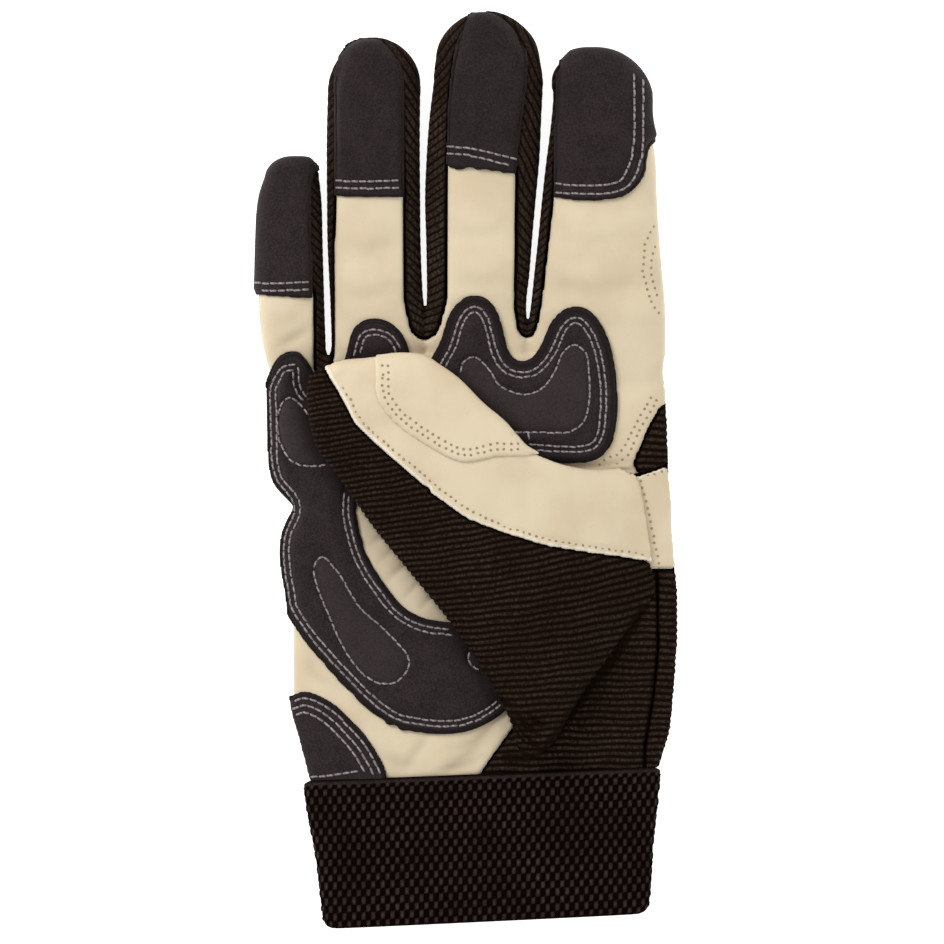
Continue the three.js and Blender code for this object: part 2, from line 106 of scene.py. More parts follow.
def through(knots, values, at):
    """Values along a smooth curve that passes through every row."""
    knots, values = np.asarray(knots, float), np.asarray(values, float)
    slopes = np.gradient(values, knots, axis=0)
    i = np.clip(np.searchsorted(knots, at, side="right") - 1, 0, len(knots) - 2)
    span = knots[i + 1] - knots[i]
    t = ((at - knots[i]) / span)[:, None]
    span = span[:, None]
    return ((2 * t**3 - 3 * t**2 + 1) * values[i] + (t**3 - 2 * t**2 + t) * span * slopes[i]
            + (3 * t**2 - 2 * t**3) * values[i + 1] + (t**3 - t**2) * span * slopes[i + 1])


def drawn(points, step, closed=False, smooth=True):
    """Points about a step apart along a line through the given ones."""
    points = np.asarray(points, float)
    lead = 3 if closed and smooth else 0
    if closed:
        before, after = (points[-lead:], points[:lead]) if smooth else (points[:0], points[:1])
        points = np.vstack([before, points, after])
    gaps = np.linalg.norm(np.diff(points, axis=0), axis=1)
    knots = np.concatenate([[0.0], np.cumsum(np.sqrt(gaps))])
    fine = points
    if smooth:
        last = len(knots) - lead if lead else len(knots) - 1
        fine = through(knots, points, np.linspace(knots[lead], knots[last], FINE_POINTS * len(points)))
    along = np.concatenate([[0.0], np.cumsum(np.linalg.norm(np.diff(fine, axis=0), axis=1))])
    at = np.linspace(0.0, along[-1], max(2, int(round(along[-1] / step)) + 1))
    if closed:
        at = at[:-1]
    return np.stack([np.interp(at, along, fine[:, k]) for k in range(points.shape[1])], axis=1)


def away_from(points, line, closed=False):
    """How far each point is, seen from above, from a drawn line."""
    start = np.asarray(line, float)[:, :2]
    end = np.roll(start, -1, axis=0)
    if not closed:
        start, end = start[:-1], end[:-1]
    along = end - start
    length2 = np.maximum((along**2).sum(1), 1e-12)
    best = np.full(len(points), np.inf)
    for first in range(0, len(points), BLOCK):
        part = points[first:first + BLOCK, None, :2]
        t = np.clip(((part - start) * along).sum(2) / length2, 0, 1)
        gap = part - start - t[..., None] * along
        best[first:first + BLOCK] = np.sqrt((gap**2).sum(2).min(1))
    return best


def inside(points, outline):
    """Which points lie inside a closed outline, seen from above."""
    x, y = points[:, 0], points[:, 1]
    odd = np.zeros(len(points), bool)
    for (ax, ay), (bx, by) in zip(outline, np.roll(outline, -1, axis=0)):
        if ay != by:
            odd ^= ((ay > y) != (by > y)) & (x < (bx - ax) * (y - ay) / (by - ay) + ax)
    return odd


def depth_in(points, outline):
    """Distance to a closed outline, above zero inside it and below zero outside."""
    gap = away_from(points, outline, closed=True)
    return np.where(inside(points, outline), gap, -gap)


def eased(value, low, high):
    """From 0 below the low limit to 1 above the high one, with soft ends."""
    t = np.clip((value - low) / (high - low), 0, 1)
    return t * t * (3 - 2 * t)


def faded(value, low, high):
    """From 1 below the low limit to 0 above the high one, with soft ends."""
    return 1 - eased(value, low, high)


def softened(line, rounds):
    """A closed line with its corners eased."""
    for _ in range(rounds):
        line = (np.roll(line, 1, axis=0) + 2 * line + np.roll(line, -1, axis=0)) / 4
    return line


# %% [markdown]
# ## Solids to cut the pieces from
#
# The glove lies flat, so a cut across a finger or the hand is a flattened oval that rests on the
# table. A row of such cuts, joined by a skin, makes a limb. Blender's Boolean modifier then does
# what scissors do: it takes the hollow out of the limbs and cuts the shell along the patterns.
# The sizes and the tables are the CAD model's own, with many more points round each cut.

# %% Sizes of the sewn shell, in millimetres
WALL = 1.6
CAP_SUEDE = 1.3
PAD_SUEDE = 1.6
PATCH = 0.9
GAP = 0.3  # between two pieces
SEAM_HEIGHT = 4.2  # where the palm's side meets the back
ROUNDNESS = 2.5  # of a cut: 2 is an ellipse, and more is squarer
FLAT_SHARE = 0.15  # how far a cut would reach below the table, as a share of its height
TIP_PROFILE = 0.55  # below 1, a fingertip stays thick almost to its end
WRIST_Y = -83.7
WEB_Y = 31.1
THUMB_MIDDLE = 16.7  # height between the folded thumb's lower and upper side
CLEAR, HIGH, BROAD = 20.0, 60.0, 160.0  # how far the cutting solids reach below, above and to the sides
AROUND = 72  # points round a cut
STATION = 1.6  # distance between cuts along a limb
TIP_CUTS = 18  # cuts round a fingertip
THINNEST = 0.4  # half the width or height of the thinnest cut

# y, left edge, right edge, height of the top
HAND = [(WRIST_Y, -42.2, 51.3, 9.4), (-73.5, -45.0, 54.5, 9.6), (-63.0, -47.9, 55.6, 9.8),
        (-52.0, -48.4, 56.4, 9.8), (-45.0, -48.6, 56.8, 9.8), (-40.0, -48.4, 56.8, 9.8),
        (-33.9, -48.9, 56.7, 9.8), (-29.0, -49.8, 56.4, 9.8), (-22.7, -50.4, 55.8, 9.8),
        (-16.5, -49.6, 55.3, 9.8), (-12.5, -47.8, 55.1, 9.8), (-10.1, -46.6, 55.1, 9.8),
        (-7.6, -48.9, 55.0, 9.8), (-4.1, -51.9, 54.6, 9.8), (0.0, -53.2, 54.4, 9.8),
        (8.0, -53.7, 54.1, 9.8), (19.0, -54.0, 53.6, 9.8), (WEB_Y, -54.6, 52.6, 9.3)]
FINGERS = {
    "little": [(4.0, -48.0, -41.5, 2.0), (15.0, -50.8, -40.6, 6.0), (26.0, -54.4, -39.2, 8.9),
               (WEB_Y, -56.0, -39.3, 9.8), (36.0, -57.0, -39.5, 10.6), (45.0, -57.8, -39.8, 11.2),
               (52.0, -57.5, -40.0, 11.2), (63.0, -57.2, -40.3, 11.0), (72.0, -56.7, -40.5, 10.7),
               (76.0, -56.0, -40.8, 10.5), (80.0, -54.6, -41.3, 10.3)],
    "ring": [(26.0, -37.0, -13.0, 8.4), (WEB_Y, -37.8, -11.6, 9.9), (38.0, -38.0, -11.5, 10.8),
             (42.5, -38.1, -12.1, 11.2), (46.0, -38.2, -12.7, 11.5), (52.0, -38.5, -13.1, 11.9),
             (63.0, -39.0, -13.5, 12.1), (74.0, -39.1, -13.6, 12.2), (90.0, -39.2, -13.7, 12.0),
             (103.0, -38.9, -13.6, 11.4)],
    "middle": [(26.0, -11.6, 15.6, 8.4), (WEB_Y, -12.8, 17.0, 9.9), (36.0, -12.9, 16.9, 10.5),
               (39.5, -12.7, 15.9, 10.9), (43.0, -12.1, 15.4, 11.4), (47.0, -11.8, 15.5, 12.0),
               (52.0, -11.8, 16.1, 12.2), (63.0, -12.0, 17.0, 12.3), (74.0, -12.3, 18.0, 12.4),
               (85.0, -11.9, 19.0, 12.4), (96.0, -11.1, 19.5, 12.2), (106.0, -9.9, 20.0, 11.8)],
    "index": [(4.0, 20.0, 49.0, 2.0), (15.0, 18.0, 51.2, 6.0), (26.0, 16.0, 52.9, 8.9),
              (WEB_Y, 14.6, 53.3, 9.9), (36.0, 14.8, 53.5, 10.6), (39.5, 15.8, 53.5, 11.1),
              (43.0, 16.4, 53.4, 11.9), (47.0, 16.9, 53.2, 12.1), (52.0, 17.4, 52.7, 12.3),
              (63.0, 18.6, 51.8, 12.4), (74.0, 19.7, 51.1, 12.4), (84.0, 20.8, 50.8, 12.2),
              (90.0, 21.6, 49.9, 12.1), (96.0, 22.3, 48.6, 11.9), (103.0, 22.9, 48.4, 11.6)],
}
FINGERTIPS = {"little": (-47.4, 84.2), "ring": (-26.5, 117.3), "middle": (4.4, 124.3), "index": (33.4, 114.0)}
# far edge x and y, near edge x and y, lowest and highest point of each cut across the folded thumb
THUMB = [(45.4, 0.9, 51.0, -36.2, 2.5, 9.2), (40.4, 0.1, 42.6, -44.6, 4.0, 12.8),
         (33.3, -0.3, 34.7, -55.2, 7.5, 16.8), (26.5, 0.7, 27.8, -65.9, 10.8, 19.8),
         (20.2, 2.8, 21.5, -76.2, 13.0, 21.6), (16.2, 4.7, 15.2, -79.2, 13.3, 22.2),
         (13.1, 7.7, 10.6, -67.6, 13.3, 22.6), (9.1, 12.1, 2.2, -52.4, 13.3, 22.6),
         (3.2, 17.0, -6.3, -40.4, 13.3, 22.6), (-3.2, 23.4, -16.9, -27.3, 13.3, 22.6),
         (-8.8, 27.4, -26.8, -15.0, 13.3, 22.5), (-14.0, 30.3, -35.5, -2.2, 13.3, 22.2),
         (-20.6, 30.8, -42.0, 6.8, 13.3, 21.9), (-28.7, 30.0, -44.2, 17.7, 13.4, 21.2),
         (-36.9, 28.9, -44.0, 24.6, 13.9, 19.6), (-39.3, 28.1, -43.4, 26.2, 14.8, 18.2)]

# %% Helpers that make and cut solids
scene = bpy.context.scene


def solid(points, faces):
    """A mesh object for cutting, in millimetres."""
    mesh = bpy.data.meshes.new("solid")
    mesh.from_pydata(np.asarray(points).tolist(), [], [list(f) for f in faces])
    made = bpy.data.objects.new("solid", mesh)
    scene.collection.objects.link(made)
    return made


def thrown_away(*objects):
    """Removes cutting solids that are done with."""
    for made in objects:
        mesh = made.data
        bpy.data.objects.remove(made)
        bpy.data.meshes.remove(mesh)


def evaluated(made):
    """The mesh of an object with its modifiers applied."""
    return bpy.data.meshes.new_from_object(made.evaluated_get(bpy.context.evaluated_depsgraph_get()))


def cut(kind, first, second, keep_first=True):
    """A new solid: the first one joined with, cut by or kept within the second."""
    modifier = first.modifiers.new("cut", "BOOLEAN")
    modifier.operation, modifier.solver, modifier.object = kind, "MANIFOLD", second
    made = bpy.data.objects.new("solid", evaluated(first))
    scene.collection.objects.link(made)
    first.modifiers.clear()
    if not keep_first:
        thrown_away(first)
    return made


def signed_area(outline):
    """Twice the area inside an outline, above zero if it runs anticlockwise."""
    return sum(ax * by - bx * ay for (ax, ay), (bx, by) in zip(outline, np.roll(outline, -1, axis=0)))


def prism(outline, low, high):
    """An upright solid over an outline."""
    count = len(outline)
    points = [(x, y, low) for x, y in outline] + [(x, y, high) for x, y in outline]
    sides = [(i, (i + 1) % count, count + (i + 1) % count, count + i) for i in range(count)]
    faces = [tuple(range(count))[::-1], tuple(range(count, 2 * count))] + sides
    if signed_area(outline) < 0:
        faces = [f[::-1] for f in faces]
    return solid(points, faces)


def widened(outline, distance):
    """An outline moved outwards."""
    outline = np.asarray(outline, float)
    before, after = np.roll(outline, 1, axis=0), np.roll(outline, -1, axis=0)
    along = after - before
    along /= np.maximum(np.linalg.norm(along, axis=1, keepdims=True), 1e-9)
    outwards = np.stack([along[:, 1], -along[:, 0]], axis=1)
    return outline + outwards * distance * (1 if signed_area(outline) > 0 else -1)


# %% Helpers that make limbs
def oval(count):
    """How far out and how far up the points of a flattened circle are, from -1 to 1."""
    angle = 2 * np.pi * (np.arange(count) + 0.5) / count
    return [np.sign(part) * np.abs(part) ** (2 / ROUNDNESS) for part in (np.cos(angle), np.sin(angle))]


def ring_round(left, right, low, high, grow):
    """The points round one flattened cut. Below the table's height it is pressed flat."""
    left, right = np.array(left, float), np.array(right, float)
    width = np.linalg.norm(right - left)
    across, centre = (right - left) / width, (left + right) / 2
    out, up = oval(AROUND)
    out, up = out * max(width / 2 + grow, THINNEST), up * max((high - low) / 2 + grow, THINNEST)
    height = np.maximum((low + high) / 2 + up, max(0.0, -grow))
    return np.column_stack([centre[0] + across[0] * out, centre[1] + across[1] * out, height])


def limb(cuts, grow):
    """A closed solid through the cuts."""
    rings = [ring_round(*station, grow) for station in cuts]
    points = np.vstack(rings + [rings[0].mean(0), rings[-1].mean(0)])
    first, last, n = len(points) - 2, len(points) - 1, AROUND
    faces = []
    for side in range(n):
        after = (side + 1) % n
        for i in range(len(rings) - 1):
            faces.append((i * n + side, (i + 1) * n + side, (i + 1) * n + after, i * n + after))
        end = (len(rings) - 1) * n
        faces += [(first, side, after), (last, end + after, end + side)]
    return solid(points, faces)


def resting(y, left, right, top):
    """A cut that rests on the table: its two ends seen from above, its lowest and its highest point."""
    return (left, y), (right, y), -FLAT_SHARE * top, top


def moved_on(cut_across, distance):
    """The same cut further towards the fingertips."""
    left, right, low, high = cut_across
    return (left[0], left[1] + distance), (right[0], right[1] + distance), low, high


def cuts_along(table):
    """Resting cuts close together, from a few rows of y, left edge, right edge and top."""
    rows = np.array(table)
    ys = np.linspace(rows[0, 0], rows[-1, 0], int((rows[-1, 0] - rows[0, 0]) / STATION))
    return [resting(y, *row) for y, row in zip(ys, through(rows[:, 0], rows[:, 1:], ys))]


def hand_solid(grow):
    cuts = cuts_along(HAND)
    cuts[-1] = moved_on(cuts[-1], grow)
    if grow < 0:
        cuts.insert(0, moved_on(cuts[0], -CLEAR))
    return limb(cuts, grow)


def finger_solid(name, grow):
    cuts = cuts_along(FINGERS[name])
    start_y, left, right, top = FINGERS[name][-1]
    tip_x, tip_y = FINGERTIPS[name]
    low, high = -FLAT_SHARE * top, top
    middle, half, centre = (low + high) / 2, (high - low) / 2, (left + right) / 2
    for angle in np.radians(np.linspace(6, 86, TIP_CUTS)):
        width = (right - left) / 2 * np.cos(angle)
        height = half * np.cos(angle) ** TIP_PROFILE
        x = centre + (tip_x - centre) * np.sin(angle)
        y = start_y + (tip_y + grow - start_y) * np.sin(angle)
        cuts.append(((x - width, y), (x + width, y), middle - height, middle + height))
    return limb(cuts, grow)


def thumb_solid(grow):
    rows = np.array(THUMB)
    middles = (rows[:, 0:2] + rows[:, 2:4]) / 2
    knots = np.concatenate([[0.0], np.cumsum(np.linalg.norm(np.diff(middles, axis=0), axis=1))])
    at = np.unique(np.concatenate([np.linspace(a, b, max(2, int((b - a) / STATION) + 1))
                                   for a, b in zip(knots[:-1], knots[1:])]))
    fine = through(knots, rows, at)
    for end, near in ((0, 1), (-1, -2)):
        for k in (0, 2):
            step = fine[end, k:k + 2] - fine[near, k:k + 2]
            fine[end, k:k + 2] += step / np.linalg.norm(step) * grow
    return limb([(row[2:4], row[0:2], row[4], row[5]) for row in fine], grow)


def hand_and_fingers(grow):
    whole = hand_solid(grow)
    for name in FINGERS:
        finger = finger_solid(name, grow)
        whole = cut("UNION", whole, finger, keep_first=False)
        thrown_away(finger)
    return whole


# %% Make the shell
EVERYWHERE = [(-BROAD, -BROAD), (BROAD, -BROAD), (BROAD, BROAD), (-BROAD, BROAD)]
hand, over_hand, hollow = hand_and_fingers(0.0), hand_and_fingers(GAP), hand_and_fingers(-WALL)
thumb, thumb_hollow = thumb_solid(0.0), thumb_solid(-WALL)
hollow = cut("UNION", hollow, thumb_hollow, keep_first=False)
hand_shell = cut("DIFFERENCE", hand, hollow)
thumb_shell = cut("DIFFERENCE", cut("DIFFERENCE", thumb, hollow), over_hand, keep_first=False)
below_seam = prism(EVERYWHERE, -CLEAR, SEAM_HEIGHT - GAP / 2)
above_seam = prism(EVERYWHERE, SEAM_HEIGHT + GAP / 2, HIGH)
print("shell faces:", len(hand_shell.data.polygons), "thumb faces:", len(thumb_shell.data.polygons))

# %% [markdown]
# ## The patterns
#
# Each outline is the edge of one sewn piece, seen from above. Pads have smooth outlines. Side walls
# and panels have straight runs with corners, which the sewing rounds a little.

# %% Outlines of the pieces, in millimetres
OUTLINE_STEP, FINE_STEP, TOOTH_STEP = 0.8, 0.5, 0.4  # distance between the points of a finished outline
SIDE_WALLS = {
    "side_wall_little_ring": [(-42.3, 26.4), (-42.3, 48.6), (-43.8, 50.8), (-44.2, 78.0), (-45.4, 83.6),
                              (-46.6, 88.5), (-40.4, 92.0), (-40.4, 121.0), (-26.4, 122.0), (-26.4, 116.2),
                              (-30.2, 115.6), (-33.4, 113.2), (-35.7, 109.0), (-36.3, 104.0), (-36.9, 74.0),
                              (-37.4, 60.0), (-37.4, 34.0), (-38.0, 26.4)],
    "side_wall_ring_middle": [(-17.6, 46.0), (-17.9, 74.0), (-18.5, 99.0), (-18.8, 107.4), (-19.9, 111.4),
                              (-22.4, 114.6), (-26.0, 116.2), (-26.0, 122.0), (-14.0, 122.0),
                              (-12.0, 129.0), (3.4, 129.0), (3.4, 123.4), (0.9, 122.5), (-2.0, 119.4),
                              (-4.4, 112.8), (-5.6, 104.0), (-6.4, 84.0), (-6.7, 46.0), (-9.0, 37.6),
                              (-12.4, 35.4), (-15.8, 37.6)],
    "side_wall_middle_index": [(12.4, 45.0), (12.7, 62.0), (12.9, 80.0), (12.3, 84.0), (13.3, 97.0),
                               (14.2, 107.0), (14.2, 111.8), (13.3, 116.0), (12.1, 119.4), (9.3, 122.0),
                               (6.4, 123.2), (3.7, 123.4), (3.7, 129.0), (22.0, 129.0), (28.0, 120.0),
                               (26.6, 112.6), (25.0, 110.0), (24.0, 106.0), (23.3, 90.0), (22.6, 74.0),
                               (20.4, 56.0), (19.2, 45.0), (17.6, 37.6), (15.6, 36.0), (13.4, 37.6)],
}
GUSSET = [(45.0, 1.6), (48.5, 10.0), (52.4, 17.4), (70.0, 17.4), (70.0, 1.2), (53.5, 1.2), (46.6, -1.3)]
SIDE_LEATHER = [(43.2, -2.0), (46.6, -1.6), (53.5, 0.9), (70.0, 0.9), (70.0, -27.1), (48.2, -27.1)]
SIDE_KNIT = [(51.2, -27.4), (51.6, -48.5), (50.2, -63.0), (48.0, -76.8), (47.7, -100.0), (70.0, -100.0),
             (70.0, -27.4)]
WRIST_KNIT = [(50.9, -27.4), (51.3, -48.5), (49.9, -63.0), (47.7, -76.8), (47.4, -100.0), (-4.0, -100.0),
              (4.1, -81.6), (11.5, -71.5), (22.0, -58.0), (33.0, -42.0), (33.0, -27.4)]
THUMB_KNIT = [(-39.6, 27.6), (-34.5, 19.0), (-31.0, 12.0), (-21.5, 3.5), (-9.5, -7.0), (-1.2, -13.1),
              (10.4, -17.6), (21.4, -20.8), (36.0, -23.0), (54.0, -25.8), (60.0, -90.0), (-60.0, -90.0),
              (-60.0, 30.0), (-45.0, 31.5)]
KNUCKLE_PAD = [(-11.0, 29.8), (-8.1, 34.9), (-6.4, 40.8), (-4.3, 44.7), (-1.3, 47.2), (1.7, 47.8),
               (4.7, 46.8), (7.2, 43.8), (8.5, 40.4), (9.3, 37.4), (10.2, 33.2), (11.5, 30.6), (13.6, 29.4),
               (15.7, 29.6), (17.8, 31.5), (20.0, 35.3), (21.6, 39.6), (24.2, 42.9), (27.6, 44.7),
               (31.9, 44.1), (35.2, 40.8), (37.8, 35.7), (39.5, 28.9), (40.3, 22.1), (40.2, 15.3),
               (39.5, 9.4), (37.8, 5.3), (34.7, 2.7), (31.0, 1.8), (25.9, 1.8), (20.0, 2.1), (12.0, 3.0),
               (3.0, 7.0), (-6.0, 14.0), (-12.0, 22.0)]
KNUCKLE_INNER = [(-2.7, 26.5), (-1.9, 29.2), (1.4, 30.8), (4.9, 27.8), (8.2, 22.9), (15.0, 20.5),
                 (19.9, 22.4), (23.2, 26.8), (25.7, 32.2), (28.7, 34.1), (31.7, 31.7), (32.5, 25.4),
                 (32.5, 18.6), (31.1, 13.1), (27.3, 10.4), (20.0, 10.2), (12.0, 10.4), (4.0, 11.4),
                 (-4.0, 17.5), (-5.5, 23.0)]
HEEL_PAD = [(-46.3, 32.2), (-49.0, 32.6), (-52.2, 31.2), (-54.2, 28.4), (-55.6, 25.0), (-58.5, 20.0),
            (-61.0, 10.0), (-60.0, -2.0), (-55.5, -8.0), (-55.5, -13.0), (-60.0, -20.0), (-60.0, -26.0),
            (-54.2, -33.6), (-50.2, -39.6), (-47.6, -43.6), (-44.6, -47.7), (-39.0, -54.1), (-31.6, -61.7),
            (-26.3, -66.3), (-20.8, -69.8), (-15.8, -71.0), (-7.9, -72.1), (0.0, -71.3), (6.6, -68.3),
            (13.5, -61.5), (14.0, -52.0), (3.0, -43.4), (-3.8, -41.6), (-10.4, -41.0), (-17.3, -38.2),
            (-22.9, -31.7), (-28.4, -22.5), (-31.0, -8.5), (-26.0, 5.0), (-16.8, 20.0), (-16.6, 33.0),
            (-20.4, 39.4), (-26.0, 41.5), (-31.4, 39.4), (-34.0, 31.0), (-36.4, 25.0), (-39.6, 22.8),
            (-42.2, 26.0)]
HEEL_INNER = [(-42.6, -26.6), (-40.4, -23.8), (-35.6, -28.4), (-30.5, -37.0), (-21.5, -45.5), (-16.5, -52.4),
              (-20.0, -57.8), (-25.6, -58.0), (-32.0, -52.5), (-37.5, -42.0)]
EDGE_INNER = [(-52.4, 15.0), (-49.6, 19.7), (-45.6, 17.0), (-40.5, 8.0), (-38.2, 2.6), (-43.0, 0.9),
              (-48.6, 2.4), (-51.8, 8.0)]
CENTRE_INNER = [(2.6, -46.6), (0.2, -48.9), (-0.5, -51.6), (1.4, -54.1), (5.5, -54.6), (10.5, -52.0),
                (9.5, -47.0)]
WRIST_PATCH = [(-60.0, -63.4), (-49.2, -61.3), (-45.3, -60.2), (-38.3, -62.7), (-30.8, -69.3),
               (-25.8, -75.7), (-22.6, -83.2), (-26.0, -94.0), (-60.0, -94.0)]
CROTCH_PATCH = [(-25.6, 25.0), (-25.2, 20.0), (-21.5, 14.0), (-11.5, 6.6), (-2.0, 2.2), (7.0, 3.6),
                (16.4, 4.0), (21.5, 5.5), (22.0, 10.0), (12.0, 22.0), (-6.0, 38.0), (-24.0, 38.0)]
CAPS = {
    "little": [(-64.0, 47.6), (-58.0, 47.6), (-50.0, 46.9), (-42.8, 46.6), (-43.0, 60.0), (-43.0, 78.0),
               (-42.6, 80.6), (-40.6, 82.4), (-40.0, 92.0), (-64.0, 92.0)],
    "ring": [(-37.1, 74.6), (-27.0, 74.2), (-17.8, 74.2), (-17.8, 100.0), (-18.1, 108.5), (-18.9, 112.3),
             (-20.8, 115.3), (-24.5, 118.6), (-30.0, 119.6), (-34.2, 116.9), (-36.6, 111.5), (-37.4, 106.5),
             (-37.4, 98.0)],
    "middle": [(-6.7, 83.0), (-4.0, 82.0), (0.0, 81.8), (4.0, 81.4), (12.8, 80.4), (13.7, 90.4),
               (15.2, 101.0), (15.9, 108.0), (15.9, 113.0), (14.8, 117.2), (12.6, 121.3), (9.0, 124.6),
               (5.0, 127.4), (0.0, 127.0), (-1.8, 123.6), (-3.5, 118.6), (-4.6, 113.0), (-5.7, 105.0),
               (-6.3, 96.0)],
    "index": [(60.0, 92.0), (49.7, 88.5), (47.6, 80.0), (42.5, 74.8), (34.0, 73.2), (22.6, 74.2),
              (22.8, 90.0), (23.4, 104.0), (23.6, 124.0), (60.0, 124.0)],
}
# the sharp corners of each cap's outline, as places in its list
CAP_CORNERS = {"little": (0, 3, 8, 9), "ring": (0, 2), "middle": (0, 4), "index": (0, 5, 8, 9)}


def rounded(outline, rounds):
    """A straight-sided outline with its corners eased."""
    return softened(drawn(outline, OUTLINE_STEP, closed=True, smooth=False), rounds)


def cap_outline(name):
    """A smooth line through the cap's points that keeps its sharp corners."""
    points, corners = CAPS[name], CAP_CORNERS[name]
    runs = []
    for start, end in zip(corners, corners[1:] + (corners[0] + len(points),)):
        run = [points[k % len(points)] for k in range(start, end + 1)]
        runs.append(drawn(run, FINE_STEP)[:-1])
    return np.vstack(runs)


def near_places(line, places):
    """How far the line moves at each of its points. Each place is x, y, reach and distance."""
    return sum(distance * np.exp(-((line[:, 0] - x) ** 2 + (line[:, 1] - y) ** 2) / reach**2)
               for x, y, reach, distance in places)


def tucked(outline, places):
    """An outline pulled in at some places."""
    return outline + (outline - widened(outline, 1.0)) * near_places(outline, places)[:, None]


def nibbled(outline, places, seed):
    """An outline with the small teeth that scissors leave."""
    line = drawn(outline, TOOTH_STEP, closed=True, smooth=False)
    teeth = np.random.default_rng(seed).normal(size=len(line))
    for _ in range(3):
        teeth = (np.roll(teeth, 1) + teeth + np.roll(teeth, -1)) / 3
    teeth /= np.abs(teeth).max()
    return line + (widened(line, 1.0) - line) * (teeth * near_places(line, places))[:, None]


# %% [markdown]
# ## A fine skin for each piece
#
# Scissors leave long thin faces that can't be shaped. Blender's voxel remesh turns a cut solid into
# small even squares, and a few rounds of smoothing take the voxel steps out again without shrinking
# it. After that the points can be pushed about: this is where ribs, dents and puffed pads come from.

# %% The skin and how it is shaped
class Skin:
    """A surface: points in millimetres, faces, and named masks that vary over it."""

    def __init__(self, points, faces):
        self.points, self.faces, self.masks = points, faces, {}

    def normals(self):
        corner = [self.points[self.faces[:, k]] for k in range(4)]
        flat = np.cross(corner[2] - corner[0], corner[3] - corner[1])
        total = np.zeros_like(self.points)
        for k in range(4):
            for axis in range(3):
                total[:, axis] += np.bincount(self.faces[:, k], flat[:, axis], len(self.points))
        return total / np.maximum(np.linalg.norm(total, axis=1, keepdims=True), 1e-12)

    def push(self, amount):
        """Moves every point along the surface's own direction."""
        self.points += self.normals() * np.asarray(amount)[:, None]


def numbers_of(items, name, each, width, kind=np.int32):
    """What a mesh's vertices, edges or face corners hold, with so many numbers each, in rows of a width."""
    values = np.empty(each * len(items), kind)
    items.foreach_get(name, values)
    return values.reshape(-1, width)


def main_body(made):
    """Keeps the largest connected part of a cut solid."""
    mesh = made.data
    near, far = numbers_of(mesh.edges, "vertices", 2, 2).T
    part = np.arange(len(mesh.vertices))
    while True:
        before = part.copy()
        low = np.minimum(part[near], part[far])
        np.minimum.at(part, near, low)
        np.minimum.at(part, far, low)
        part = part[part]
        if (part == before).all():
            break
    largest = np.bincount(part).argmax()
    if (part == largest).all():
        return made
    kept = np.flatnonzero(part == largest)
    number = {old: new for new, old in enumerate(kept)}
    points = [tuple(mesh.vertices[i].co) for i in kept]
    faces = [[number[v] for v in p.vertices] for p in mesh.polygons if part[p.vertices[0]] == largest]
    thrown_away(made)
    return solid(points, faces)


def relaxed(points, edges, rounds):
    """Smooths the points and swells them back, so that the surface keeps its size."""
    near, far = edges.T
    count = len(points)
    degree = np.bincount(near, minlength=count) + np.bincount(far, minlength=count)
    for _ in range(rounds):
        for share in (0.6, -0.62):
            around = np.stack([np.bincount(near, points[far, k], count)
                               + np.bincount(far, points[near, k], count) for k in range(3)], axis=1)
            points = points + share * (around / degree[:, None] - points)
    return points


def remeshed(made, voxel, rounds, stretch=(1.0, 1.0, 1.0)):
    """A cut solid's main body as an even skin. Stretched for the remesh, it gets finer squares that way."""
    made = main_body(made)
    made.data.transform(Matrix.Diagonal((*stretch, 1.0)))
    modifier = made.modifiers.new("remesh", "REMESH")
    modifier.mode, modifier.voxel_size = "VOXEL", voxel
    mesh = evaluated(made)
    thrown_away(made)
    points = numbers_of(mesh.vertices, "co", 3, 3, np.float32).astype(float) / np.array(stretch)
    faces, edges = numbers_of(mesh.loops, "vertex_index", 1, 4), numbers_of(mesh.edges, "vertices", 2, 2)
    bpy.data.meshes.remove(mesh)
    return Skin(relaxed(points, edges, rounds), faces)


def tree_of(made):
    mesh = made.data
    return BVHTree.FromPolygons([v.co for v in mesh.vertices], [tuple(p.vertices) for p in mesh.polygons])


def gap_to(points, tree):
    return np.array([tree.find_nearest(Vector(p))[3] for p in points])


def outside_of(skin, outer_tree, inner_tree):
    """1 on the outer face of a shell, 0 on its inner face, in between on its cut edges."""
    outer, inner = gap_to(skin.points, outer_tree), gap_to(skin.points, inner_tree)
    return eased(inner / np.maximum(inner + outer, 1e-6), 0.25, 0.75)


# %% [markdown]
# ## How the lying glove waves
#
# Nothing on a lying glove is quite flat. One gentle wave runs through leather, pads and stitches
# alike, and a table of creases adds the sharper folds that show where fingers and thumb bend.

# %% The wave and the creases
# length, direction in degrees, and height of each wave
WAVES = [(31.0, 20.0, 0.13), (24.0, 110.0, 0.11), (17.0, 65.0, 0.08), (12.5, 150.0, 0.05), (43.0, 95.0, 0.16)]
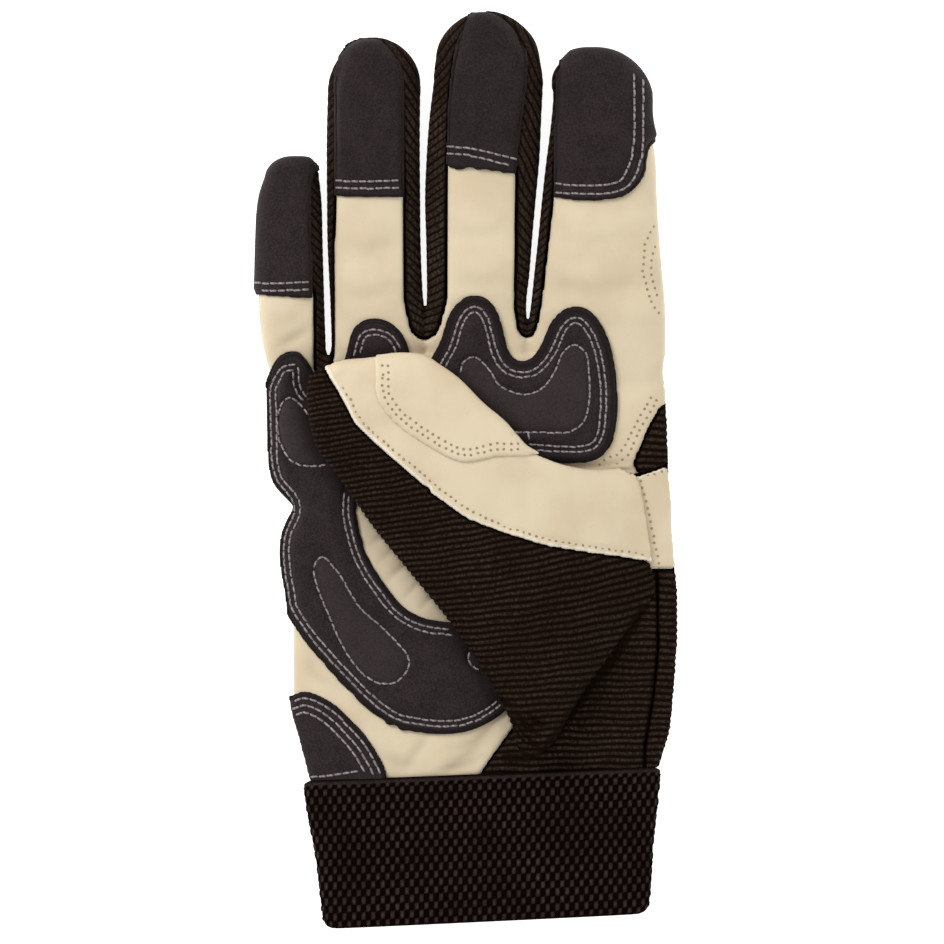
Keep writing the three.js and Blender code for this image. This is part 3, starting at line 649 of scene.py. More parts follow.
# width, depth, and the points of each crease
CREASES = [
    (1.6, 0.55, [(-42.2, 39.6), (-47.0, 36.6), (-53.2, 33.2)]),
    (2.6, 0.35, [(-56.0, 42.0), (-50.0, 40.2), (-44.0, 43.0)]),
    (2.4, 0.30, [(-36.0, 49.0), (-30.0, 47.6), (-19.0, 50.0)]),
    (2.2, 0.25, [(-35.5, 62.0), (-27.0, 60.6), (-19.0, 63.0)]),
    (2.4, 0.30, [(-5.5, 52.6), (2.0, 51.2), (11.5, 53.0)]),
    (2.2, 0.22, [(-5.5, 66.0), (3.0, 64.6), (12.0, 67.2)]),
    (2.6, 0.30, [(21.0, 52.0), (32.0, 49.4), (47.0, 52.2)]),
    (2.2, 0.22, [(23.0, 64.0), (34.0, 62.4), (46.0, 65.6)]),
    (1.8, 0.5, [(-15.8, 33.2), (-12.4, 31.2), (-9.0, 32.4)]),
    (0.9, 0.9, [(20.0, 3.6), (28.7, 1.4), (35.8, 1.2), (43.0, 2.2)]),
    (0.9, 0.7, [(-28.6, -13.5), (-25.6, -12.0), (-22.6, -11.6)]),
    (1.0, 0.8, [(-27.0, -20.5), (-22.5, -17.5), (-19.0, -16.6)]),
    (0.8, 0.65, [(-24.6, -25.0), (-19.5, -21.0)]),
    (1.0, 0.85, [(-22.0, -29.6), (-16.0, -25.2), (-12.0, -23.5)]),
    (0.8, 0.7, [(-17.5, -34.5), (-12.5, -30.0)]),
    (0.9, 0.75, [(-13.0, -37.6), (-8.0, -32.5), (-5.0, -31.0)]),
    (1.3, 0.5, [(-17.5, -80.5), (-13.5, -75.0), (-12.0, -71.5)]),
    (1.6, 0.6, [(-6.0, -81.5), (0.0, -77.6), (5.0, -72.5)]),
    (1.0, 0.5, [(-9.0, -82.0), (-1.0, -80.6), (4.0, -78.4)]),
    (1.5, 0.4, [(-26.0, -76.0), (-20.0, -79.5), (-13.0, -80.5)]),
    (1.2, 0.45, [(6.0, -70.0), (1.0, -74.5), (-5.0, -76.0)]),
    (1.5, 0.3, [(-45.0, -50.0), (-42.0, -56.0), (-36.0, -60.0)]),
]


def waved(points):
    """How much the lying glove rises at each point."""
    x, y, z = points.T
    rise = np.zeros(len(points))
    for i, (length, turn, height) in enumerate(WAVES):
        turn = np.radians(turn)
        rise += height * np.sin(2 * np.pi * (x * np.cos(turn) + y * np.sin(turn)) / length + 1.7 * i)
    return rise * eased(z, 2.0, 8.0)


def creased(points, creases):
    """How far creases sink the surface at each point."""
    sink = np.zeros(len(points))
    for width, depth, line in creases:
        line = drawn(line, 1.0)
        to_ends = [np.linalg.norm(points[:, :2] - end, axis=1) for end in (line[0], line[-1])]
        fade = 0.35 + 0.65 * eased(np.minimum(*to_ends), 0.0, 5.0)
        sink += depth * np.exp(-(away_from(points, line) / width) ** 2) * fade
    return sink


# %% [markdown]
# ## Rib knit
#
# The black parts are a rib knit: rows of rounded ridges with narrow valleys. At under 2 mm from ridge
# to ridge they are wide enough to be made as real shape, and the yarn inside them is left to the material.

# %% Ribs
RIB_PITCH = 1.68
PANEL_RIB_PITCH = 1.86
WALL_RIB_PITCH = 1.83
RIB_HEIGHT = 0.42
RIB_WANDER = 0.13


def ribbed(skin, across, along, height, share=1.0):
    """Raises ribs on a skin. Across counts the ribs and along runs down each of them, in millimetres."""
    x, y, _ = skin.points.T
    across = across + RIB_WANDER * (np.sin(x / 2.1 + 1.3 * np.sin(y / 3.7)) + np.sin(x / 4.9 - y / 2.3)) / 2
    rise = np.abs(np.cos(np.pi * across)) ** 0.9
    skin.masks.update(rise=rise, row=across, along=along)
    skin.push(height * (rise - 0.7) * share)


# %% Put a shaped skin into the scene as a piece
PIECES = {}
LEAN = [(-123.0, 0.0475, -0.04), (WRIST_Y, 0.0397, 0.2), (-56.0, 0.0, 0.0)]  # y, slope, shift
LEAN_MIDDLE = 4.0


def leaned(points):
    """The cuff and the wrist seam are not quite square to the hand: they rise to the right."""
    y, slope, shift = np.array(LEAN).T
    from_middle = points[:, 0] - LEAN_MIDDLE
    lean = np.interp(points[:, 1], y, slope) * from_middle + np.interp(points[:, 1], y, shift)
    return points + lean[:, None] * np.array([0.0, 1.0, 0.0])


def to_thumb(points):
    """How far points are, seen from above, from the outline of the folded thumb, which casts a shadow."""
    rows = np.array(THUMB)
    around = drawn(np.vstack([rows[:, 0:2], rows[::-1, 2:4]]), 1.0, closed=True, smooth=False)
    return away_from(points, around, closed=True)


def piece(name, skin, node, slot, in_place=False):
    """Makes the object, hides the CAD node that it stands for, and names its finish."""
    points = skin.points if in_place else leaned(skin.points) + PATTERN_TO_MIDDLE
    mesh = bpy.data.meshes.new(name)
    mesh.vertices.add(len(points))
    mesh.vertices.foreach_set("co", (points * MM).astype(np.float32).ravel())
    mesh.loops.add(skin.faces.size)
    mesh.loops.foreach_set("vertex_index", skin.faces.astype(np.int32).ravel())
    mesh.polygons.add(len(skin.faces))
    mesh.polygons.foreach_set("loop_start", 4 * np.arange(len(skin.faces), dtype=np.int32))
    mesh.update(calc_edges=True)
    mesh.shade_smooth()
    for mask, values in skin.masks.items():
        mesh.attributes.new(mask, "FLOAT", "POINT").data.foreach_set("value", np.asarray(values, np.float32))
    made = bpy.data.objects.new(name, mesh)
    scene.collection.objects.link(made)
    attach(made, "root")
    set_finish(made, slot)
    if node:
        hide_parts(node)
    PIECES[name] = made
    size = points.max(0) - points.min(0)
    half = sum(face.area for face in mesh.polygons) / 2 / MM**2
    print(name, 2 * len(skin.faces), "triangles, size", size.round(1), "one side", round(half), "mm2")
    return made


# %% [markdown]
# ## Palm leather, side walls and back
#
# The upper half of the shell is cut along the patterns, one piece after the other, each a little
# smaller than the hole it leaves. What remains in the end is the palm leather. Where two pieces are
# sewn together both of them sink towards the seam, which makes the groove that a real seam has.

# %% Cut the upper half
KNIT_VOXEL = 0.46
WALL_VOXEL = 0.36
LEATHER_VOXEL = 0.74
BACK_VOXEL = 1.0
BACK_STRETCH = (1.7, 0.5, 1.0)  # the gaps between the fingers are narrow across and long
PAD_VOXEL = 0.5
THUMB_VOXEL = 0.6

hand_tree, hollow_tree = tree_of(hand), tree_of(hollow)
upper = cut("INTERSECT", hand_shell, above_seam)
cut_outlines = {name: rounded(points, 3) for name, points in SIDE_WALLS.items()}
cut_outlines.update(side_gusset=rounded(GUSSET, 2), side_leather=rounded(SIDE_LEATHER, 2),
                    side_knit=rounded(SIDE_KNIT, 2), wrist_knit=rounded(WRIST_KNIT, 3))
cut_solids = {}
for name, outline in cut_outlines.items():
    knife, wider = prism(outline, -CLEAR, HIGH), prism(widened(outline, GAP), -CLEAR, HIGH)
    cut_solids[name] = cut("INTERSECT", upper, knife)
    upper = cut("DIFFERENCE", upper, wider, keep_first=False)
    thrown_away(knife, wider)


def to_seams(points, outlines):
    """Distance to the nearest of several sewn edges."""
    return np.min([away_from(points, outline, closed=True) for outline in outlines], axis=0)


# %% The palm leather
SEAM_WIDTH = 0.8
SEAM_DEPTH = 0.5
CUT_EDGE = 0.9  # how far the paler edge shows: partly the pale cut of the hide, partly a painted highlight on its lip

palm = remeshed(upper, LEATHER_VOXEL, 10)
outer = outside_of(palm, hand_tree, hollow_tree)
seam_gap = to_seams(palm.points, cut_outlines.values())
palm.masks["edge"] = faded(seam_gap, 0.0, CUT_EDGE)
sunk, beside_thumb = creased(palm.points, CREASES), to_thumb(palm.points)
palm.masks["shade"] = np.maximum.reduce([0.25 * faded(beside_thumb, 0.5, 6.0),
                                         0.75 * faded(beside_thumb, 0.0, 0.9),
                                         0.35 * np.minimum(sunk, 1)])
palm.points[:, 2] += waved(palm.points) - sunk
palm.push(-SEAM_DEPTH * faded(seam_gap, 0.0, SEAM_WIDTH) * outer)
piece("palm_leather_skin", palm, "palm_leather", "cream_leather")

# %% The side walls between the fingers
# how steeply the ribs run on the left and on the right of each gap, as y and slope
WALL_RIBS = {
    "side_wall_little_ring": ([(30, -0.5), (60, -0.9), (100, -1.2)], [(30, 0.4), (60, 0.6), (100, 0.9)]),
    "side_wall_ring_middle": ([(35, -0.4), (50, -0.75), (72, -0.92), (100, -1.22), (120, -1.3)],
                              [(35, 0.2), (55, 0.43), (75, 0.54), (98, 0.75), (120, 1.2)]),
    "side_wall_middle_index": ([(40, -0.25), (53, -0.54), (68, -0.91), (85, -1.5), (120, -1.9)],
                               [(40, 0.3), (60, 0.8), (90, 1.0), (120, 1.2)]),
}
# the middle of each gap, where the ribs change their direction
GAP_LINES = {
    "side_wall_little_ring": [(-39.1, 28.0), (-39.6, 60.0), (-40.6, 90.0), (-42.0, 120.0)],
    "side_wall_ring_middle": [(-12.4, 34.0), (-12.9, 60.0), (-12.9, 90.0), (-11.0, 130.0)],
    "side_wall_middle_index": [(15.6, 34.0), (17.2, 60.0), (20.5, 90.0), (22.0, 130.0)],
}
WALL_SHADOW = {"side_wall_little_ring": 0.25}  # how much darker a wall is all over
WALL_RIB_HEIGHT = 0.3
COUNT_STEP = 0.5  # the ribs are counted up a wall in steps of this length
WALL_TIPS = 105.0  # from here on the walls run round the fingertips, where they are darker
# how a wall swells round the fingertips on its left and on its right: from y, to y, and by how much
TIP_SWELL = {"side_wall_ring_middle": ((101.0, 113.0, 1.0), (110.0, 118.0, 1.0)),
             "side_wall_middle_index": ((110.0, 118.0, 1.2), (100.0, 110.0, 0.7))}
NO_SWELL = ((0.0, 1.0, 0.0), (0.0, 1.0, 0.0))


def wall_ribs(x, y, z, side, slopes):
    """Counts the ribs of one wall. They keep their distance while they turn steeper towards the tip."""
    at, slope = np.array(slopes, float).T
    steps = np.arange(20.0, 130.5, COUNT_STEP)
    spacing = WALL_RIB_PITCH * np.sqrt(1 + np.interp(steps, at, slope) ** 2)
    count = np.interp(y, steps, np.cumsum(COUNT_STEP / spacing))
    tilt = np.interp(y, at, slope)
    return count - tilt * (x + side * z) / (WALL_RIB_PITCH * np.sqrt(1 + tilt**2))


for name, (left_slopes, right_slopes) in WALL_RIBS.items():
    skin = remeshed(cut_solids[name], WALL_VOXEL, 6)
    line = drawn(GAP_LINES[name], 2.0)
    x, y, z = skin.points.T
    middle = np.interp(y, line[:, 1], line[:, 0])
    across = np.where(x < middle, wall_ribs(x - middle, y, z, -0.15, left_slopes),
                      wall_ribs(x - middle, y, z, 0.15, right_slopes))
    swells = [height * eased(y, low, high) for low, high, height in TIP_SWELL.get(name, NO_SWELL)]
    outer = outside_of(skin, hand_tree, hollow_tree)
    seam_gap = to_seams(skin.points, [cut_outlines[name]])
    skin.points[:, 2] += waved(skin.points)
    skin.push((np.where(x < middle, *swells) - 0.4 * faded(seam_gap, 0.0, 0.8)) * outer)
    turned_down = faded(skin.normals()[:, 2], 0.15, 0.6)
    ribbed(skin, across, x * 1.3, WALL_RIB_HEIGHT, outer * (1 - 0.7 * turned_down))
    # the painted highlight on the walls' rib crests is made wider
    skin.masks["rise"] = np.minimum(0.18 + 1.15 * skin.masks["rise"], 1)
    at_tip = 0.3 * eased(y, WALL_TIPS - 12.0, WALL_TIPS)
    skin.masks["shade"] = np.maximum(faded(seam_gap, 0.2, 1.0), WALL_SHADOW.get(name, 0.0) + at_tip)
    piece(name + "_knit", skin, name, "black_knit")

# %% The panels at the right-hand edge and at the wrist
PANEL_DIM = {"wrist_knit": 0.07}  # how much darker a panel is all over
# where the folded thumb comes down on the wrist, it keeps the light off the knit
FOLD_LINE = [(47.2, -37.7), (44.0, -43.4), (39.0, -52.1), (33.0, -59.0), (28.4, -65.8), (24.3, -71.8),
             (20.5, -76.7), (15.6, -79.4), (10.0, -79.0)]
for name, slot in (("side_gusset", "black_knit"), ("side_knit", "black_knit"), ("wrist_knit", "black_knit"),
                   ("side_leather", "cream_leather")):
    knitted = slot == "black_knit"
    skin = remeshed(cut_solids[name], KNIT_VOXEL if knitted else PAD_VOXEL, 6)
    outer = outside_of(skin, hand_tree, hollow_tree)
    seam_gap = to_seams(skin.points, [cut_outlines[name]])
    skin.points[:, 2] += waved(skin.points)
    skin.push(-SEAM_DEPTH * faded(seam_gap, 0.0, 1.2) * outer)
    skin.masks["edge"] = faded(seam_gap, 0.0, CUT_EDGE)
    if knitted:
        across = (skin.points[:, 1] + 0.02 * skin.points[:, 0]) / PANEL_RIB_PITCH
        ribbed(skin, across, skin.points[:, 0] + skin.points[:, 2], RIB_HEIGHT * 0.8, outer)
        beside_fold = away_from(skin.points, FOLD_LINE)
        beside_seam = 0.8 * faded(seam_gap, 0.1, 0.5)
        shade = np.maximum(beside_seam, 0.85 * faded(beside_fold, 0.5, 2.3))
        skin.masks["shade"] = np.maximum(shade, PANEL_DIM.get(name, 0.0))
    piece(name + "_panel", skin, name, slot)

# %% The rib-knit back, which the glove lies on
back = remeshed(cut("INTERSECT", hand_shell, below_seam), BACK_VOXEL, 6, BACK_STRETCH)
# the remesh rounds the open end off, so it is drawn out again to the wrist seam
from_end = back.points[:, 1] - back.points[:, 1].min()
back.points[:, 1] += (WRIST_Y - back.points[:, 1].min()) * faded(from_end, 0.0, 8.0)
ribbed(back, back.points[:, 1] / PANEL_RIB_PITCH, back.points[:, 0] + back.points[:, 2], 0.0)
piece("back_knit_skin", back, "back_knit", "black_knit")

# %% [markdown]
# ## Layers sewn on top
#
# A layer is what lies between the body and the same body grown by the layer's thickness, inside the
# layer's outline. The suede pads have foam behind them. They are stitched down near the edge and along
# an inner line, and swell in between.

# %% How a layer is cut out and how its stitching pulls it down
PAD_LOWEST = SEAM_HEIGHT + GAP
CHANNEL = 0.55  # how deep a row of stitches pulls the suede down
CHANNEL_WIDTH = 0.7


def layer(lower, upper_body, outline, lowest):
    knife = prism(outline, lowest, HIGH)
    sheet = cut("INTERSECT", cut("DIFFERENCE", upper_body, lower), knife, keep_first=False)
    thrown_away(knife)
    return sheet


def pulled_down(distance):
    """A channel along a row of stitches."""
    return -CHANNEL * np.exp(-(distance / CHANNEL_WIDTH) ** 2)


def within_silhouette(outline):
    """An outline whose left side is pulled in to a little beyond the hand's edge, or less near the wrist."""
    rows = np.array(HAND)
    left = through(rows[:, 0], rows[:, 1:2], np.clip(outline[:, 1], WRIST_Y, WEB_Y))[:, 0]
    beyond = 0.5 + 2.1 * eased(outline[:, 1], -50.0, -38.0)
    return softened(np.column_stack([np.maximum(outline[:, 0], left - beyond), outline[:, 1]]), 8)


def edge_fall(skin, deep, drop, side_drop):
    """How far a layer sinks towards its cut edge. Round the side of the hand it is pulled down more."""
    up = skin.normals()[:, 2]
    on_side = faded(up, 0.35, 0.85)
    return -drop * faded(deep, 0.0, 1.2) - side_drop * on_side * faded(deep, 0.0, 5.0)


# %% Sizes of the two pads
KNUCKLE_BORDER, HEEL_BORDER = 3.1, 2.1  # from the cut edge to the outer row of stitches
ROWS_APART = 1.5
PUFF = 0.9  # how far a pad swells
INNER_PUFF = 0.75  # how much further its inner shapes swell
over_pads = hand_and_fingers(GAP + PAD_SUEDE)
over_thumb = thumb_solid(GAP)
# x, y, reach and depth of the teeth that the scissors left
HEEL_TEETH = [(-21.0, -69.5, 5.5, 1.1), (-33.0, -59.0, 6.0, 0.5), (-28.0, -22.0, 9.0, 0.3),
              (-46.0, 32.0, 6.0, 0.25), (-8.0, -41.5, 6.0, 0.3)]
KNUCKLE_TEETH = [(38.0, 10.0, 12.0, 0.25), (1.0, 47.0, 8.0, 0.15)]
NO_TUCKS = [(0.0, 0.0, 1.0, 0.0)]
# x, y, reach and distance of the places where the heel pad is sewn further from its edge
HEEL_TUCKS = [(-49.0, 33.0, 5.0, 1.7), (-40.5, 24.0, 5.0, 3.6), (-26.0, 41.5, 8.0, 1.0)]


# %% [markdown]
# ## Blowing the pads up
#
# A padded panel takes its shape from where it is sewn down and from what presses against it from below.
# Blender's Cloth does just that: a flat cloth over the pad's outline is pinned along the seams, and a
# little air pressure makes it swell and pucker in between. Its heights are then read off for the pad.

# %% Let Blender's Cloth swell between the seams
CLOTH_STEP = 1.2
CLOTH_UNIT = 10.0  # the cloth is worked out in units of 10 mm
CLOTH_FRAMES = 20
CLOTH = {"vertex_group_mass": "sewn", "quality": 6, "mass": 0.3, "use_pressure": True,
         "uniform_pressure_force": 4.0, "tension_stiffness": 40.0, "compression_stiffness": 15.0,
         "shear_stiffness": 10.0, "bending_stiffness": 1.0, "shrink_min": -0.06}
SEWN_WIDTH = 0.7  # how much of the cloth on either side of an inner seam is held down
PLUMPNESS = 0.6  # below 1, narrow strips swell nearly as much as wide ones


def swollen(points, outline, border, lines):
    """How far a sewn-down cloth under pressure rises at each point, from 0 to 1."""
    (left, low), (right, high) = outline.min(0), outline.max(0)
    xs, ys = np.arange(left, right + CLOTH_STEP, CLOTH_STEP), np.arange(low, high + CLOTH_STEP, CLOTH_STEP)
    spots = np.stack(np.meshgrid(xs, ys, indexing="ij"), axis=-1).reshape(-1, 2)
    sewn = depth_in(spots, outline) < border + ROWS_APART
    for line in lines:
        sewn |= away_from(spots, line, closed=True) < SEWN_WIDTH
    number = np.arange(len(spots)).reshape(len(xs), len(ys))
    corners = [number[:-1, :-1], number[1:, :-1], number[1:, 1:], number[:-1, 1:]]
    faces = np.stack(corners, axis=-1).reshape(-1, 4)
    sheet = solid(np.column_stack([spots, np.zeros(len(spots))]) / CLOTH_UNIT, faces)
    sheet.vertex_groups.new(name="sewn").add(np.flatnonzero(sewn).tolist(), 1.0, "REPLACE")
    cloth = sheet.modifiers.new("cloth", "CLOTH")
    for setting, value in CLOTH.items():
        setattr(cloth.settings, setting, value)
    cloth.settings.effector_weights.gravity = 0.0
    cloth.point_cache.frame_start, cloth.point_cache.frame_end = 1, CLOTH_FRAMES
    for frame_number in range(1, CLOTH_FRAMES + 1):
        scene.frame_set(frame_number)
    mesh = evaluated(sheet)
    height = np.array([v.co.z for v in mesh.vertices]).reshape(len(xs), len(ys)) * CLOTH_UNIT
    print("the cloth rose by up to", round(float(height.max()), 2), "mm")
    scene.frame_set(1)
    bpy.data.meshes.remove(mesh)
    thrown_away(sheet)
    height = np.clip(height / height.max(), 0, 1) ** PLUMPNESS
    i, j = (points[:, 0] - left) / CLOTH_STEP, (points[:, 1] - low) / CLOTH_STEP
    column, row = np.clip(i.astype(int), 0, len(xs) - 2), np.clip(j.astype(int), 0, len(ys) - 2)
    u, v = np.clip(i - column, 0, 1), np.clip(j - row, 0, 1)
    return ((1 - u) * (1 - v) * height[column, row] + u * (1 - v) * height[column + 1, row]
            + (1 - u) * v * height[column, row + 1] + u * v * height[column + 1, row + 1])


# %% Make the two pads
FOAM_SHARE = 0.5  # how much of the swelling is the foam's, which the cloth lies on


def pad(name, outline_points, teeth, tucks, inner_shapes, node, border):
    smooth = within_silhouette(drawn(outline_points, OUTLINE_STEP, closed=True))
    body = layer(over_hand, over_pads, nibbled(smooth, teeth, 11), PAD_LOWEST)
    skin = remeshed(cut("DIFFERENCE", body, over_thumb, keep_first=False), PAD_VOXEL, 8)
    sewn = tucked(smooth, tucks)
    deep, deep_sewn = depth_in(skin.points, smooth), depth_in(skin.points, sewn)
    up = eased(skin.normals()[:, 2], -0.2, 0.4)
    lines = [drawn(shape, OUTLINE_STEP, closed=True) for shape in inner_shapes]
    puff = FOAM_SHARE * PUFF * eased(deep_sewn, border + ROWS_APART, border + ROWS_APART + 4.5)
    puff += PUFF * swollen(skin.points, sewn, border, lines)
    puff += pulled_down(deep_sewn - border) + pulled_down(deep_sewn - border - ROWS_APART)
    puff += edge_fall(skin, deep, 0.8, 1.0)
    skin.masks["inner"] = np.zeros(len(deep))
    for line in lines:
        inner = depth_in(skin.points, line)
        puff += FOAM_SHARE * INNER_PUFF * eased(inner, 0.3, 3.5) + pulled_down(inner)
        skin.masks["inner"] = np.maximum(skin.masks["inner"], eased(inner, -0.3, 0.6))
    skin.masks["shade"] = 0.85 * faded(to_thumb(skin.points), 0.2, 5.0)
    skin.points[:, 2] += waved(skin.points) - 0.5 * creased(skin.points, CREASES)
    skin.push(puff * up)
    # the border beyond the stitches is drawn darker: partly pressed nap, partly painted shade where the edge
    # falls away
    skin.masks["edge"] = faded(deep, 0.8, border - 0.2)
    return piece(name, skin, node, "dark_suede"), sewn


knuckle_pad, knuckle_outline = pad("knuckle_pad_suede", KNUCKLE_PAD, KNUCKLE_TEETH, NO_TUCKS, [KNUCKLE_INNER],
                                   "knuckle_pad", KNUCKLE_BORDER)
heel_pad, heel_outline = pad("heel_pad_suede", HEEL_PAD, HEEL_TEETH, HEEL_TUCKS,
                             [HEEL_INNER, EDGE_INNER, CENTRE_INNER], "heel_pad", HEEL_BORDER)

# %% The wrist patch
wrist_outline = drawn(WRIST_PATCH, OUTLINE_STEP, closed=True)
hand_only, hand_over = hand_solid(GAP), hand_solid(GAP + CAP_SUEDE)
above_wrist = prism([(-BROAD, WRIST_Y), (BROAD, WRIST_Y), (BROAD, BROAD), (-BROAD, BROAD)], -CLEAR, HIGH)
sheet = layer(hand_only, hand_over, wrist_outline, PAD_LOWEST)
skin = remeshed(cut("INTERSECT", sheet, above_wrist, keep_first=False), PAD_VOXEL, 6)
deep = depth_in(skin.points, wrist_outline)
skin.masks["edge"] = faded(deep, 0.9, 1.9)
skin.points[:, 2] += waved(skin.points)
skin.push(edge_fall(skin, deep, 0.4, 0.7) * eased(skin.normals()[:, 2], -0.2, 0.4))
piece("wrist_patch_suede", skin, "wrist_patch", "dark_suede")

# %% The fingertip caps
# Each cap ends inside its finger's outline, where it meets the knitted side walls, and lies on the
# leather at its lower edge. The teeth are given as for the pads.
CAP_TEETH = {"little": [(-50.0, 47.0, 8.0, 0.2)], "ring": [(-27.0, 74.4, 9.0, 0.25)],
             "middle": [(0.0, 82.0, 7.0, 1.1), (10.0, 80.5, 5.0, 0.3)], "index": [(34.0, 73.2, 10.0, 0.3)]}
# from here up a cap's edge is rolled in where it meets the side walls
CAP_LOWER = {"little": 50.0, "ring": 78.0, "middle": 86.0, "index": 78.0}
CAP_SHADE = {"little": 0.0, "ring": 0.18, "middle": 0.27, "index": 0.11}  # how much darker a cap is all over
for name in CAPS:
    outline = cap_outline(name)
    under, over = finger_solid(name, GAP), finger_solid(name, GAP + CAP_SUEDE)
    sheet = layer(under, over, nibbled(outline, CAP_TEETH[name], 5), PAD_LOWEST)
    skin = remeshed(sheet, PAD_VOXEL, 8)
    deep = depth_in(skin.points, outline)
    sewn = eased(skin.points[:, 1], CAP_LOWER[name] - 4.0, CAP_LOWER[name])
    outer = eased(gap_to(skin.points, tree_of(under)), 0.2, 0.9)
    skin.points[:, 2] += waved(skin.points)
    near_tip = eased(skin.points[:, 1], FINGERTIPS[name][1] - 16.0, FINGERTIPS[name][1] - 6.0)
    rolled = -1.2 * faded(deep, 0.0, 2.2 + 2.0 * near_tip) * sewn
    rolled -= 0.5 * faded(deep, 0.0, 1.0) * (1 - sewn)
    skin.push(rolled * outer)
    skin.masks["edge"] = faded(deep, 0.5, 1.3) * (1 - 0.5 * sewn)
    skin.masks["shade"] = np.full(len(deep), CAP_SHADE[name])
    piece(f"tip_cap_{name}_suede", skin, f"tip_cap_{name}", "dark_suede")
    thrown_away(under, over)

# %% [markdown]
# ## The folded thumb
#
# The thumb is folded over the palm. Its palm side is leather, with a second leather layer over the
# crotch, and its back, which faces up near the wrist, is the same rib knit as the back of the hand.

# %% The thumb's leather and knit
# where the knit is gathered at the wrist
KNIT_GATHERS = [
    [(11.0, -66.5), (12.6, -70.5), (16.0, -74.5), (19.5, -76.2)],
    [(13.0, -66.0), (15.0, -69.6), (18.6, -72.6)],
    [(8.6, -66.0), (9.6, -71.0), (12.6, -76.0), (16.5, -78.4)],
    [(16.0, -66.6), (18.0, -69.0), (21.6, -70.4)],
    [(5.6, -60.5), (8.6, -63.0), (12.0, -64.0)],
    [(7.6, -65.0), (7.0, -70.0), (8.4, -75.0)],
]
GATHER = 0.9, 1.5  # width and depth
THUMB_KNIT_DIM = 0.22  # the knit over the thumb is made a little darker all over than the other knit
# the leather's edge over the knit is a plain cut, with a few steps where the scissors were lifted
THUMB_TEETH = [(-12.0, -5.5, 4.0, 0.6), (1.5, -14.0, 4.0, 0.5), (14.0, -18.5, 5.0, 0.3),
               (-31.0, 12.0, 5.0, 0.25), (36.0, -22.5, 8.0, 0.3)]
thumb_tree, thumb_hollow_tree = tree_of(thumb), tree_of(thumb_hollow)
knit_outline = nibbled(rounded(THUMB_KNIT, 3), THUMB_TEETH, 3)
knife, wider = prism(knit_outline, -CLEAR, HIGH), prism(widened(knit_outline, GAP), -CLEAR, HIGH)
skin = remeshed(cut("DIFFERENCE", thumb_shell, wider), THUMB_VOXEL, 8)
outer = outside_of(skin, thumb_tree, thumb_hollow_tree)
seam_gap = away_from(skin.points, knit_outline, closed=True)
skin.points[:, 2] += waved(skin.points)
hemmed_in = 0.2 * faded(seam_gap, 0.0, 0.5) + 0.3 * np.exp(-((seam_gap - 1.8) / 0.45) ** 2)
skin.push((0.45 - hemmed_in) * outer)
skin.masks["edge"] = faded(seam_gap, 0.5, 1.3)
piece("thumb_leather_skin", skin, "thumb_leather", "cream_leather")

skin = remeshed(cut("INTERSECT", thumb_shell, knife), KNIT_VOXEL, 6)
outer = outside_of(skin, thumb_tree, thumb_hollow_tree)
seam_gap = away_from(skin.points, knit_outline, closed=True)
x, y, z = skin.points.T
across = (y - 0.11 * x - 0.0011 * x**2 - 0.0034 * x * (y + 35.0)) / RIB_PITCH
skin.points[:, 2] += waved(skin.points)
skin.push(-0.5 * faded(seam_gap, 0.0, 1.6) * outer)
ribbed(skin, across, x, RIB_HEIGHT, outer)
gathered = creased(skin.points, [(*GATHER, line) for line in KNIT_GATHERS])
gathered *= eased(skin.normals()[:, 2], 0.0, 0.5)
skin.points[:, 2] -= gathered
beside_fold = away_from(skin.points, FOLD_LINE)
skin.masks["shade"] = np.maximum.reduce([faded(seam_gap, 0.2, 1.0),
                                         0.85 * faded(beside_fold, 0.4, 2.4),
                                         np.clip(1.2 * gathered, THUMB_KNIT_DIM, 0.95)])
piece("thumb_knit_skin", skin, "thumb_knit", "black_knit")

# %% The second leather layer
patch_outline = drawn(CROTCH_PATCH, OUTLINE_STEP, closed=True)
over_patch = thumb_solid(GAP + PATCH)
skin = remeshed(layer(over_thumb, over_patch, patch_outline, THUMB_MIDDLE), PAD_VOXEL, 6)
deep = depth_in(skin.points, patch_outline)
up = eased(skin.normals()[:, 2], -0.2, 0.4)
skin.points[:, 2] += waved(skin.points)
skin.push((0.45 - 0.35 * faded(deep, 0.0, 0.8)) * up)
skin.masks["edge"] = 0.5 * faded(deep, 0, 0.9)
piece("crotch_patch_leather", skin, "crotch_patch", "cream_leather")

# %% [markdown]
# ## The elastic cuff
#
# A wide woven elastic, sewn on as a tube. Its weave shows as short upright floats, set like the black
# fields of a chessboard, with dark holes between them. The tube is laid out directly as rows of
# points, so the weave follows it round.

# %% The cuff
CUFF_TOP = WRIST_Y + 0.5
CUFF = [(-123.4, -40.1, 48.9, 10.4), (-117.0, -40.7, 49.4, 10.6), (-103.5, -42.3, 50.2, 10.6),
        (-90.0, -44.8, 51.7, 11.2), (CUFF_TOP, -45.6, 52.2, 11.6)]
CUFF_WALL = 2.2
FLOAT_PITCH = 2.65
FLOAT_LENGTH = 2.1
FLOAT_RISE = 0.5
ROUND_CUFF = 460
CUFF_ROWS = 84
EDGE_ROLL = 0.8
CORNER, CORNER_SHARPNESS = 1.8, 64  # how far the cuff's corners are rounded off, and how near the side
OVAL_POINTS = 2000  # points round a cut before they are spaced evenly


